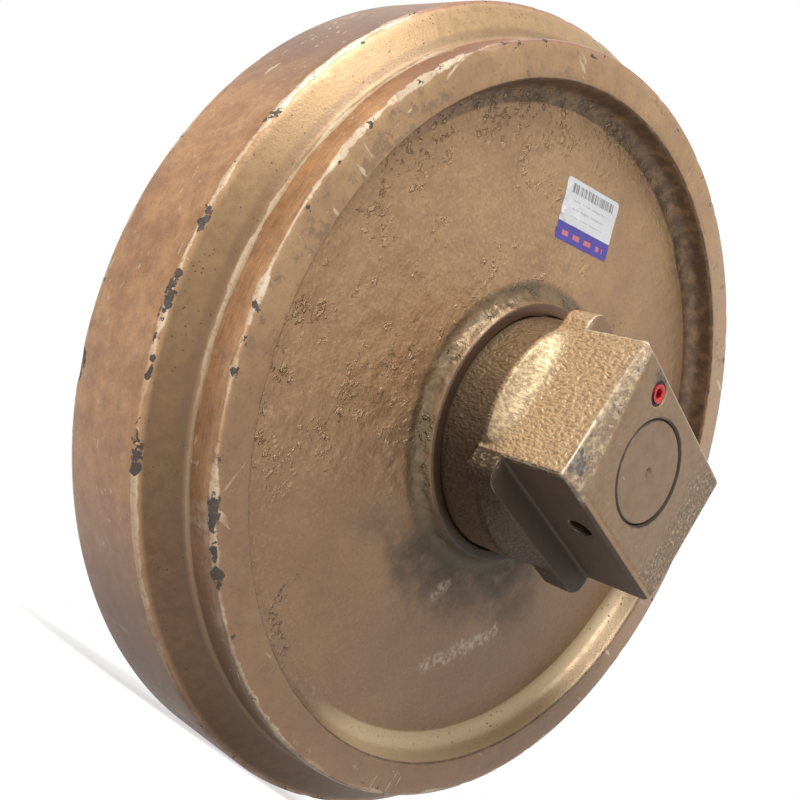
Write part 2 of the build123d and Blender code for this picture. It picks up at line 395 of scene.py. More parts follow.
    def bump(self, height: Socket, distance: float, under: Any = None, strength: Any = 1.0) -> Socket:
        """Turn a height into a normal.

        Args:
            height: The height, 0 to 1.
            distance: Depth of a height of 1, in metres.
            under: A normal to add to.
            strength: Share of the relief that shows.

        Returns:
            The normal.
        """
        node = self.add("ShaderNodeBump")
        node.inputs["Distance"].default_value = distance
        self.feed(node.inputs["Height"], height)
        self.feed(node.inputs["Strength"], strength)
        if under is not None:
            self.feed(node.inputs["Normal"], under)
        return node.outputs["Normal"]

    def surface(self, colour: Any, roughness: Any, metallic: Any, normal: Any) -> bpy.types.Material:
        """Close the tree with a surface shader.

        Args:
            colour: Base colour.
            roughness: Roughness.
            metallic: Metallic share.
            normal: Normal.

        Returns:
            The material.
        """
        shader = self.add("ShaderNodeBsdfPrincipled")
        self.feed(shader.inputs["Base Color"], colour)
        self.feed(shader.inputs["Roughness"], roughness)
        self.feed(shader.inputs["Metallic"], metallic)
        self.feed(shader.inputs["Normal"], normal)
        out = self.add("ShaderNodeOutputMaterial")
        self.tree.links.new(shader.outputs[0], out.inputs["Surface"])
        return self.material


@dataclass(frozen=True)
class BronzePaint:
    """Colours of the sprayed bronze paint, of what shows where it is rubbed, chipped or dirty, and of
    painted shade, shadow and glints.
    """

    gold: Colour = srgb(190, 154, 112)
    brown: Colour = srgb(156, 121, 91)
    shade: Colour = srgb(104, 80, 60)
    hollow: Colour = srgb(84, 64, 48)
    glint: Colour = srgb(226, 196, 150)
    tan: Colour = srgb(222, 166, 114)
    ochre: Colour = srgb(166, 117, 78)
    mauve: Colour = srgb(118, 89, 74)
    rubbed: Colour = srgb(236, 217, 186)
    smudge: Colour = srgb(208, 186, 162)
    bare: Colour = srgb(68, 61, 58)
    rust: Colour = srgb(96, 82, 74)
    # Dark colour of oil in holes and cracks, also laid as the painted shadow below the hub.
    oil_and_shadow: Colour = srgb(46, 37, 26)
    chalk: Colour = srgb(206, 186, 162)


class Paintwork:
    """A material of worn bronze paint while its colours are laid one over another."""

    def __init__(self, name: str, paint: BronzePaint) -> None:
        """Start the tree with plain paint.

        Args:
            name: The material's name.
            paint: Colours of the paint.
        """
        self.graph = Graph(name)
        self.paint = paint
        self.colour: Any = paint.brown

    def lay(self, over: Any, *shares: Any) -> None:
        """Lay a colour over those below, as far as the product of the shares."""
        self.colour = self.graph.lay(self.colour, over, *shares)

    def skin(self, height: Socket, low: Any, high: Any) -> None:
        """Darken the hollows and lighten the tips of a cast skin.

        Args:
            height: Relief of the skin, about 0.5 on average.
            low: How much the hollows darken.
            high: How much the tips lighten.
        """
        self.lay(self.paint.hollow, self.graph.step(height, 0.50, 0.36), low)
        self.lay(self.paint.glint, self.graph.step(height, 0.53, 0.68), high)


class WheelZones:
    """Where on the wheel a point lies, as shares from 0 to 1, and the noise that all its paint uses.

    The pairs are radii, distances from the middle plane, or the X and Z shares of a direction.
    """

    dish_opening: Pair = (0.0450, 0.0480)
    rim_face: Pair = (0.0690, 0.0705)
    # Direction toward the key lamp in the wheel's plane, for painted light and painted shade.
    toward_key_light: Pair = (-0.55, 0.83)
    wall_floorward: Pair = (0.73, -0.68)

    def __init__(self, graph: Graph) -> None:
        """Work out the shares.

        Args:
            graph: The material's tree.
        """
        self.graph = graph
        self.radius, self.distance = graph.turned()
        self.z = graph.axes()[2]
        self.web = self.ring((0.0900, 0.2130), 0.003, self.dish_opening)
        self.wall = graph.times(
            graph.band(self.radius, 0.2110, 0.2252, 0.001),
            graph.step(self.distance, 0.0708, 0.0690),
            graph.step(self.distance, *self.dish_opening),
        )
        # The wall's low part, which faces the key lamp and gets painted light.
        self.lit_low_wall = graph.times(self.wall, graph.step(graph.toward(self.wall_floorward), 0.130, 0.180))
        self.rim = self.ring((0.2262, 0.2440), 0.0010, self.rim_face)
        self.tread = self.ring((0.2455, 0.2486), 0.0006, (0.0490, 0.0505))
        self.flank = graph.times(
            graph.band(self.radius, 0.2490, 0.2664, 0.0012),
            graph.band(self.distance, 0.0325, 0.0500, 0.001),
        )
        self.crown = graph.step(self.radius, 0.2668, 0.2690)
        self.worn = graph.over(self.crown, self.tread)
        # 1 on the side toward the key lamp and 0 on the far side, for painted light and painted shade.
        self.upper = graph.step(graph.toward(self.toward_key_light), -0.16, 0.16)
        self.rough = graph.painted("rough")
        self.broad = graph.patches(0.060, 0.34, 0.66, 6.0, 0.6)
        self.mottle = graph.patches(0.0075, 0.32, 0.68, 6.0, 0.68)
        self.fine = graph.noise(0.0016, 3.0, 0.6)
        self.grain = graph.noise(0.0024, 2.0, 0.5)

    def ring(self, radii: Pair, soft: float, distances: Pair) -> Socket:
        """A ring between two radii.

        Args:
            radii: Inner and outer radius.
            soft: Width of each soft end.
            distances: Where it starts and where it is full, along the axle.

        Returns:
            1 on the ring.
        """
        return self.graph.times(
            self.graph.band(self.radius, *radii, soft),
            self.graph.step(self.distance, *distances),
        )


class WheelMarks:
    """Marks that casting, oil and use left on the wheel, as shares from 0 to 1.

    A corner is the radius and distance of a turned edge.
    """

    flange_corner: Pair = (0.2694, 0.0325)
    tread_corner: Pair = (0.2468, 0.0706)
    root_corner: Pair = (0.2482, 0.0492)
    # Direction in which the bracket's painted shadow falls on the web.
    shadow_direction: Pair = (0.62, -0.78)

    def __init__(self, graph: Graph, zones: WheelZones) -> None:
        """Work out the shares.

        Args:
            graph: The material's tree.
            zones: Where a point lies.
        """
        self.graph = graph
        self.zones = zones
        self.blob = graph.noise(0.0042, 3.0, 0.60, graph.stretched(1.0, 0.5, 0.75))
        self.knobs = graph.step(self.blob, 0.535, 0.665)
        self.find_clusters()
        self.find_pocks()
        self.find_bracket_shadow()
        self.cracked = graph.times(
            graph.painted("crack"),
            graph.band(graph.noise(0.045, 7.0, 0.58), 0.497, 0.503, 0.0015),
        )
        self.chalked = graph.times(graph.painted("chalk"), graph.patches(0.004, 0.40, 0.60, 5.0, 0.7))
        self.find_scrapes()
        self.at_flange = self.from_edge(self.flange_corner)
        self.at_tread = self.from_edge(self.tread_corner)
        self.find_rubbed_edges()
        self.find_chips()

    def find_clusters(self) -> None:
        """Find where the knobs of the cast skin stand, mostly by the rim."""
        graph = self.graph
        by_rim = graph.step(self.zones.radius, 0.165, 0.205)
        spread = graph.plus(graph.noise(0.024, 4.0, 0.6), graph.times(by_rim, 0.08))
        self.clustered = graph.times(self.zones.rough, graph.step(spread, 0.50, 0.60))

    def find_pocks(self) -> None:
        """Find the small pocks in the dish's wall, mostly in its low part."""
        graph = self.graph
        pock = graph.step(graph.pits(0.0042, graph.wavy(0.006, 0.0030)), 0.20, 0.08)
        where = graph.over(self.zones.lit_low_wall, graph.times(self.zones.wall, 0.20))
        self.pocked = graph.times(pock, graph.patches(0.016, 0.46, 0.60), where)

    def find_bracket_shadow(self) -> None:
        """Find the painted shadow that the bracket casts on the web below the hub."""
        graph = self.graph
        below = graph.step(graph.toward(self.shadow_direction), 0.030, 0.080)
        near = graph.plus(self.zones.radius, graph.times(self.zones.broad, 0.03))
        near = graph.step(near, 0.165, 0.105)
        self.bracket_shadow = graph.times(below, near, graph.patches(0.014, 0.14, 0.50, 4.0, 0.6), 0.96)

    def find_scrapes(self) -> None:
        """Find the scratches that cross the treads, the crown and the rim."""
        graph = self.graph
        scratch = graph.patches(0.0030, 0.66, 0.69, 3.0, 0.55, graph.stretched(0.10, 1.0, 0.55))
        crossing = graph.patches(0.0034, 0.68, 0.71, 3.0, 0.55, graph.stretched(0.9, 0.55, 0.09))
        where = graph.over(self.zones.worn, self.zones.rim)
        broken = graph.patches(0.05, 0.42, 0.60, 3.0)
        self.scraped = graph.times(graph.over(scratch, crossing), where, broken)

    def from_edge(self, corner: Pair) -> Socket:
        """How far a point is from a turned edge, in metres."""
        values = zip((self.zones.radius, self.zones.distance), corner)
        return self.graph.length(*(self.graph.math("SUBTRACT", value, edge) for value, edge in values))

    def worn_edge(self, gap: Socket, uneven: Socket, width: float) -> Socket:
        """Paint rubbed off along a turned edge, in an uneven line.

        Args:
            gap: Distance from the edge.
            uneven: Slow noise along the edge, 0 to 1.
            width: Greatest width of the line in metres.

        Returns:
            1 where the paint is rubbed through.
        """
        reach = self.graph.plus(self.graph.times(uneven, width), 0.0006)
        return self.graph.step(self.graph.math("SUBTRACT", gap, reach), 0.0006, -0.0004)

    def find_rubbed_edges(self) -> None:
        """Find where paint is rubbed off the flange's and the tread's edges, shown more toward the key lamp
        as painted light, and the painted highlight along the root's edge.
        """
        graph = self.graph
        upper = self.zones.upper
        uneven = graph.patches(0.030, 0.40, 0.66, 5.0, 0.62)
        # Painted highlight along the root's fillet, on the lit side only.
        root_highlight = self.worn_edge(self.from_edge(self.root_corner), uneven, 0.0016)
        lines = graph.over(
            self.worn_edge(self.at_flange, uneven, 0.0018),
            self.worn_edge(self.at_tread, uneven, 0.0028),
            graph.times(root_highlight, upper, 0.75),
        )
        gaps = graph.patches(0.045, 0.36, 0.56, 5.0, 0.6)
        # The rubbed lines show more toward the key lamp: wear, strengthened there as painted light.
        broken = graph.blend(gaps, graph.blend(upper, 0.05, 0.60), graph.blend(upper, 0.40, 1.0))
        fading = graph.blend(graph.step(self.zones.z, 0.08, 0.14), 1.0, 0.50)
        self.rubbed = graph.times(lines, broken, fading)

    def find_chips(self) -> None:
        """Find where paint chipped off the edges, in small flakes and where the casting was knocked."""
        graph = self.graph
        zones = self.zones
        flange_edge = graph.times(
            graph.band(zones.radius, 0.2650, 0.2704, 0.0008),
            graph.band(zones.distance, 0.0285, 0.0350, 0.0008),
        )
        tread_edge = zones.ring((0.2410, 0.2480), 0.0008, (0.0665, 0.0690))
        lip_edge = zones.ring((0.2235, 0.2262), 0.0006, (0.0690, 0.0708))
        near_edge = graph.over(flange_edge, tread_edge, graph.times(lip_edge, 0.9))
        ragged = graph.plus(graph.noise(0.0085, 6.0, 0.64), graph.times(near_edge, 0.30))
        small = graph.times(graph.step(ragged, 0.915, 0.935), near_edge)
        torn = graph.plus(graph.ripple(graph.noise(0.0075, 5.0, 0.68), 0.0240), 0.0031)
        torn = graph.times(torn, graph.step(graph.painted("chipped"), 0.02, 0.75))
        gap = graph.math("SUBTRACT", graph.math("MINIMUM", self.at_flange, self.at_tread), torn)
        self.chipped = graph.over(small, graph.step(gap, -0.0001, -0.0006))


@dataclass(frozen=True)
class WheelFinish:
    """Colours of the wheel's bronze paint, with its painted light and shade, and the directions in which it
    wore and toward which painted shade lies.

    The pairs are the X and Z shares of a direction in the wheel's plane.
    """

    name: str = "wheel_bronze_paint"
    paint: BronzePaint = field(default_factory=BronzePaint)
    shaded_low_side: Colour = srgb(118, 90, 70)
    shaded_low_tread: Colour = srgb(100, 74, 54)
    red_tread: Colour = srgb(128, 86, 68)
    flank_shaded: Colour = srgb(96, 68, 44)
    flank_lit: Colour = srgb(176, 143, 100)
    flank_stain: Colour = srgb(134, 128, 100)
    pale_rim: Colour = srgb(198, 166, 136)
    scoured_rim: Colour = srgb(118, 97, 82)
    lip_line: Colour = srgb(74, 58, 46)
    ring_red: Colour = srgb(100, 63, 44)
    ring_shaded: Colour = srgb(66, 46, 34)
    lit_low_wall: Colour = srgb(214, 190, 152)
    olive: Colour = srgb(84, 73, 50)
    rubbed_tan: Colour = srgb(204, 168, 132)
    rubbed_red: Colour = srgb(168, 116, 88)
    crown_shaded_side: Pair = (0.45, -0.90)
    rim_backward: Pair = (0.75, 0.45)
    rim_forward: Pair = (-1.0, -0.10)
    ring_shaded_side: Pair = (-0.85, -0.50)
    wall_shaded_side: Pair = (0.30, 0.95)

    def make(self) -> bpy.types.Material:
        """Build the material."""
        return WheelPaintwork(self).make()


class WheelPaintwork(Paintwork):
    """The wheel's paint, laid on coat by coat."""

    def __init__(self, finish: WheelFinish) -> None:
        """Start the tree and find out where each point lies.

        Args:
            finish: The colours.
        """
        super().__init__(finish.name, finish.paint)
        self.finish = finish
        self.zones = WheelZones(self.graph)
        self.marks = WheelMarks(self.graph, self.zones)

    def base(self) -> None:
        """Spray the paint as it is where nothing happened to it, lighter toward the key lamp as painted
        light and darker on the far side as painted shade.
        """
        graph, zones, finish = self.graph, self.zones, self.finish
        patchy = graph.times(zones.mottle, graph.blend(zones.web, 0.30, 0.13))
        # Painted light: lighter toward the key lamp.
        patchy = graph.plus(patchy, graph.times(zones.upper, 0.26))
        tone = graph.plus(graph.times(zones.broad, 0.42), patchy)
        self.colour = graph.mix(tone, self.paint.brown, self.paint.gold)
        # Painted shade on the side away from the key lamp.
        self.lay(finish.shaded_low_side, graph.rest(zones.upper), 0.58)

    def treads(self) -> None:
        """Lay the worn paint of the treads and the crown over it, darker on their low side as painted
        shade.
        """
        graph, zones, paint, finish = self.graph, self.zones, self.paint, self.finish
        run = graph.patches(0.022, 0.30, 0.68, 7.0, 0.66)
        tone = graph.plus(graph.times(run, 0.60), graph.times(zones.mottle, 0.35))
        tone = graph.mix(tone, paint.ochre, paint.tan)
        # Painted shade: the treads darken on the side away from the key lamp.
        low_tread_shade = graph.step(graph.toward(zones.toward_key_light), 0.06, -0.20)
        tone = graph.lay(tone, finish.shaded_low_tread, zones.tread, low_tread_shade, 0.92)
        tone = graph.lay(tone, finish.red_tread, zones.tread, graph.step(zones.z, 0.03, 0.09), 0.75)
        # Mauve on the crown: on its low side it is painted shade, and it is laid on the crown's high part
        # as well.
        low = graph.step(graph.toward(finish.crown_shaded_side), 0.02, 0.20)
        high = graph.times(graph.step(zones.z, 0.00, 0.07), 0.90)
        tone = graph.lay(tone, paint.mauve, zones.crown, graph.over(low, high), 0.80)
        smudged = graph.patches(0.040, 0.52, 0.70, 6.0, 0.62, graph.stretched(1.0, 0.7, 1.0))
        tone = graph.lay(tone, paint.smudge, smudged, graph.step(zones.mottle, 0.1, 0.8), 0.50)
        turning = graph.patches(0.0009, 0.50, 0.62, 2.0, 0.5, graph.stretched(0.05, 1.0, 0.05))
        tone = graph.lay(tone, paint.shade, turning, zones.tread, 0.25)
        self.lay(tone, zones.worn)

    def flanks(self) -> None:
        """Lay the flange's flanks over it, lighter toward the key lamp as painted light and darker below as
        painted shade, with painted shade in their groove, their pin holes and stain.
        """
        graph, zones, finish = self.graph, self.zones, self.finish
        # Painted light and shade: the flanks go from dark below to light toward the key lamp.
        rise = graph.step(graph.toward(zones.toward_key_light), -0.12, 0.30)
        tone = graph.plus(graph.times(zones.mottle, 0.16), graph.times(rise, 0.84))
        self.lay(graph.mix(tone, finish.flank_shaded, finish.flank_lit), zones.flank)
        # Painted shade in the groove at the flank's root.
        groove = graph.times(
            graph.band(zones.radius, 0.2486, 0.2540, 0.0016),
            graph.step(zones.distance, 0.0500, 0.0470),
            graph.step(zones.distance, 0.0380, 0.0430),
        )
        self.lay(self.paint.shade, groove, 0.45)
        holes = graph.step(graph.pits(0.0034), 0.20, 0.10)
        holes = graph.times(holes, graph.patches(0.014, 0.47, 0.60, 3.0), zones.flank)
        self.lay(self.paint.oil_and_shadow, holes, 0.85)
        high = graph.step(zones.z, 0.215, 0.235)
        self.lay(finish.flank_stain, zones.flank, high, graph.patches(0.016, 0.50, 0.56, 6.0, 0.66), 0.65)

    def rims(self) -> None:
        """Lay the rim's face, the line by its lip and the hub's ring over it, the ring darker on one side
        as painted shade.
        """
        graph, zones, finish = self.graph, self.zones, self.finish
        behind = graph.step(graph.toward(finish.rim_backward), 0.10, 0.20)
        self.lay(finish.pale_rim, zones.rim, behind, 0.60)
        forward = graph.step(graph.toward(finish.rim_forward), 0.195, 0.222)
        scoured = graph.plus(graph.noise(0.011, 6.0, 0.68), graph.times(forward, 0.07))
        self.lay(finish.scoured_rim, zones.rim, graph.step(scoured, 0.58, 0.66), 0.50)
        line = zones.ring((0.2240, 0.2256), 0.0005, zones.rim_face)
        uneven = graph.blend(graph.patches(0.012, 0.38, 0.56, 5.0, 0.65), 0.35, 1.0)
        self.lay(finish.lip_line, line, uneven, 0.80)
        ring = zones.ring((0.0790, 0.0872), 0.0005, (0.0655, 0.0664))
        # Painted shade: the hub's ring darkens toward one side.
        painted_shade = graph.step(graph.toward(finish.ring_shaded_side), -0.010, 0.060)
        self.lay(graph.mix(painted_shade, finish.ring_red, finish.ring_shaded), ring, 0.92)

    def dish(self) -> None:
        """Lay the painted shadow of the bracket below the hub, the wall with painted shade above and
        painted light below, and the cast skin with painted glints on its knobs over it.
        """
        graph, zones, marks, paint, finish = self.graph, self.zones, self.marks, self.paint, self.finish
        # Painted shadow of the bracket on the web below the hub.
        self.lay(paint.oil_and_shadow, marks.bracket_shadow)
        # Painted shade on the wall's upper part, which faces away from the key lamp.
        shaded = graph.blend(graph.step(graph.toward(finish.wall_shaded_side), -0.05, 0.08), 0.15, 0.92)
        patchy = graph.blend(graph.patches(0.010, 0.30, 0.62, 4.0, 0.6), 0.55, 1.0)
        self.lay(paint.hollow, zones.wall, patchy, shaded)
        # Painted light: the wall's low part, which faces the key lamp, is pale cream.
        self.lay(finish.lit_low_wall, zones.lit_low_wall, 0.62)
        self.lay(paint.hollow, marks.pocked, 0.60)
        self.lay(paint.glint, graph.step(marks.blob, 0.58, 0.70), marks.clustered, 0.42)
        even = graph.times(zones.web, 0.04)
        self.skin(zones.grain, graph.blend(zones.rough, even, 0.10), graph.blend(zones.rough, even, 0.15))
        self.lay(paint.shade, graph.step(zones.fine, 0.45, 0.30), 0.30)
        by_hub = zones.ring((0.0872, 0.1000), 0.003, zones.dish_opening)
        dull = graph.blend(graph.patches(0.012, 0.40, 0.58, 4.0, 0.62), 0.70, 1.0)
        self.lay(finish.olive, by_hub, dull, 0.84)

    def wear(self) -> None:
        """Lay cracks, chalk, scrapes, rubbed edges with a painted highlight along the root, and chips over
        it.
        """
        graph, marks, paint, finish = self.graph, self.marks, self.paint, self.finish
        self.lay(paint.oil_and_shadow, marks.cracked, 0.85)
        self.lay(paint.chalk, marks.chalked, 0.55)
        self.lay(paint.rubbed, marks.scraped, 0.60)
        tone = graph.mix(graph.patches(0.0024, 0.52, 0.66, 4.0, 0.65), paint.rubbed, finish.rubbed_tan)
        tone = graph.lay(tone, finish.rubbed_red, graph.step(self.zones.z, 0.08, 0.14), 0.85)
        self.lay(tone, marks.rubbed)
        metal = graph.mix(graph.patches(0.0035, 0.50, 0.62, 5.0), paint.bare, paint.rust)
        self.lay(metal, marks.chipped, 0.95)

    def relief(self) -> Socket:
        """Raise the lumps, knobs, pocks and chips that are too small for the mesh.

        Returns:
            The normal.
        """
        graph, zones, marks = self.graph, self.zones, self.marks
        normal = graph.bump(graph.noise(0.0100, 2.0, 0.5), 0.0018, None, graph.times(zones.rough, 0.42))
        normal = graph.bump(marks.knobs, 0.0015, normal, marks.clustered)
        normal = graph.bump(marks.pocked, -0.0006, normal, zones.wall)
        grainy = graph.blend(zones.rough, graph.times(zones.web, 0.10), 0.34)
        normal = graph.bump(zones.grain, 0.0014, normal, grainy)
        normal = graph.bump(graph.noise(0.0060, 1.0, 0.5), 0.0018, normal, graph.times(zones.web, 0.26))
        normal = graph.bump(graph.rest(marks.chipped), 0.0005, normal, 0.8)
        bitten = graph.plus(marks.scraped, graph.times(marks.rubbed, graph.noise(0.002, 4.0, 0.7)))
        normal = graph.bump(bitten, 0.0004, normal, 0.5)
        return graph.bump(zones.fine, 0.00022, normal, 0.55)

    def make(self) -> bpy.types.Material:
        """Build the material.

        Returns:
            The material.
        """
        graph, zones, marks = self.graph, self.zones, self.marks
        for lay_on in (self.base, self.treads, self.flanks, self.rims, self.dish, self.wear):
            lay_on()
        dull = graph.over(marks.chipped, marks.bracket_shadow)
        roughness = graph.blend(zones.worn, graph.blend(zones.mottle, 0.34, 0.46), 0.42)
        roughness = graph.blend(dull, roughness, 0.62)
        metallic = graph.blend(dull, graph.blend(zones.worn, 0.40, 0.26), 0.10)
        return graph.surface(self.colour, roughness, metallic, self.relief())


class BracketZones:
    """Where on a bracket a point lies, as shares from 0 to 1, and the noise that its paint uses."""

    guide_height: float = 0.0478
    ledge: float = 0.1140
    end_distance: float = 0.1618
    pin_distance: float = 0.1425
    # Side on which the painted shade in the gap round the axle is wider.
    gap_shade_side: Pair = (0.93, 0.37)

    def __init__(self, graph: Graph) -> None:
        """Work out the shares.

        Args:
            graph: The material's tree.
        """
        self.graph = graph
        self.x, _, self.z = graph.axes()
        self.radius, self.distance = graph.turned()
        self.cast = graph.painted("cast")
        self.ground = graph.painted("ground")
        self.cove = graph.painted("cove")
        # Painted shade under the lip and on the block's lower faces.
        self.under = graph.painted("under")
        self.broad = graph.patches(0.030, 0.34, 0.66, 6.0, 0.6)
        self.mottle = graph.patches(0.0045, 0.32, 0.68, 6.0, 0.68)
        self.grain = graph.noise(0.0019, 1.5, 0.5, graph.stretched(1.0, 0.62, 1.0))
        self.streak = graph.noise(0.0022, 5.0, 0.66, graph.stretched(1.0, 0.45, 1.0))
        self.relief = graph.noise(0.0038, 6.0, 0.70)
        self.scale = graph.noise(0.0042, 6.0, 0.68)
        self.end = graph.step(self.distance, self.end_distance, self.end_distance + 0.0008)
        self.collar = graph.times(
            graph.step(self.radius, 0.0740, 0.0770),
            graph.step(self.distance, 0.0975, 0.0950),
        )
        self.guide = graph.times(
            graph.step(self.z, -self.guide_height + 0.001, -self.guide_height),
            graph.step(self.distance, 0.0930, 0.0940),
            graph.step(self.distance, self.end_distance + 0.0004, self.end_distance - 0.0002),
        )
        self.upper_guide = graph.times(
            graph.step(self.z, self.guide_height, self.guide_height + 0.001),
            graph.step(self.distance, self.ledge, self.ledge + 0.001),
        )
        rearward = graph.plus(self.x, graph.times(self.broad, 0.012))
        self.rear_strip = graph.times(self.end, graph.step(rearward, 0.050, 0.066))
        self.scuff = graph.step(self.ragged("scuff", 0.0045, 2.0), 0.45, 0.75)
        self.find_bare_steel()
        self.find_worn_edges()
        self.find_pin_hole()
        self.find_gap_shade()

    def ragged(self, name: str, size: float, reach: float) -> Socket:
        """A stored share with its outline broken up by noise.

        Args:
            name: Name of the stored share.
            size: Size of the noise's lumps in metres.
            reach: How far the noise shifts the share.

        Returns:
            The share, which can lie beyond 0 and 1.
        """
        graph = self.graph
        return graph.plus(graph.painted(name), graph.ripple(graph.noise(size, 6.0, 0.7), reach))

    def find_bare_steel(self) -> None:
        """Find where grinding went through to the steel."""
        graph = self.graph
        flecks = graph.patches(0.0060, 0.58, 0.64, 6.0, 0.68)
        patch = graph.step(self.ragged("bare", 0.0050, 2.2), 0.50, 0.66)
        self.bared = graph.times(self.ground, graph.over(flecks, patch))

    def find_worn_edges(self) -> None:
        """Find where paint is rubbed off the corners, not round the plug and less so underneath."""
        graph = self.graph
        ragged = graph.plus(graph.times(graph.painted("edge"), 0.80), graph.noise(0.0070, 6.0, 0.68))
        near_plug = graph.times(self.end, graph.painted("scuff_ring"))
        self.worn = graph.times(
            graph.step(ragged, 1.02, 1.12),
            graph.rest(near_plug),
            graph.rest(graph.times(self.guide, 0.6)),
        )

    def find_pin_hole(self) -> None:
        """Find the wall of the lock pin's hole, where painted shade goes."""
        graph = self.graph
        from_pin = graph.length(self.x, graph.math("SUBTRACT", self.distance, self.pin_distance))
        from_axle = graph.step(self.radius, 0.0340, 0.0350)
        self.pin_hole_shade = graph.times(graph.step(from_pin, 0.0078, 0.0074), from_axle)

    def find_gap_shade(self) -> None:
        """Find the painted shade in the gap round the axle's end, wider on one side."""
        graph = self.graph
        turn = graph.math("DIVIDE", graph.toward(self.gap_shade_side), graph.plus(self.radius, 0.001))
        reach = graph.plus(graph.times(graph.step(turn, -0.30, 0.85), 0.0026), 0.0329)
        reach = graph.plus(reach, graph.ripple(graph.noise(0.0050, 5.0, 0.65), 0.0020))
        gap = graph.step(graph.math("SUBTRACT", self.radius, reach), 0.0004, -0.0002)
        self.gap = graph.times(gap, graph.step(self.distance, 0.1560, 0.1570))


@dataclass(frozen=True)
class BracketFinish:
    """Colours of the brackets' paint: grainy casting, ground corner and smooth machined faces."""

    name: str = "bracket_bronze_paint"
    paint: BronzePaint = field(default_factory=BronzePaint)
    front: Colour = srgb(224, 194, 152)
    collar: Colour = srgb(106, 86, 64)
    underside_shade: Colour = srgb(72, 54, 40)
    end_dull: Colour = srgb(138, 110, 82)
    end_bright: Colour = srgb(154, 127, 98)
    guide_dark: Colour = srgb(40, 28, 18)
    guide_light: Colour = srgb(58, 41, 28)
    speckle_dark: Colour = srgb(98, 90, 70)
    speckle_light: Colour = srgb(204, 186, 158)
    cove_light: Colour = srgb(200, 178, 138)
    cove_dark: Colour = srgb(142, 120, 88)
    ground_light: Colour = srgb(214, 192, 160)
    ground_dark: Colour = srgb(146, 124, 102)
    steel_dark: Colour = srgb(88, 83, 80)
    steel_light: Colour = srgb(150, 141, 130)
    scuff_dark: Colour = srgb(64, 58, 56)
    scuff_light: Colour = srgb(116, 102, 90)
    groove_and_corner_shade: Colour = srgb(42, 33, 26)
    pin_hole_shade: Colour = srgb(44, 33, 25)
    # Painted shade in the gap round the axle's end.
    gap: Colour = srgb(46, 36, 28)

    def make(self) -> bpy.types.Material:
        """Build the material."""
        return BracketPaintwork(self).make()


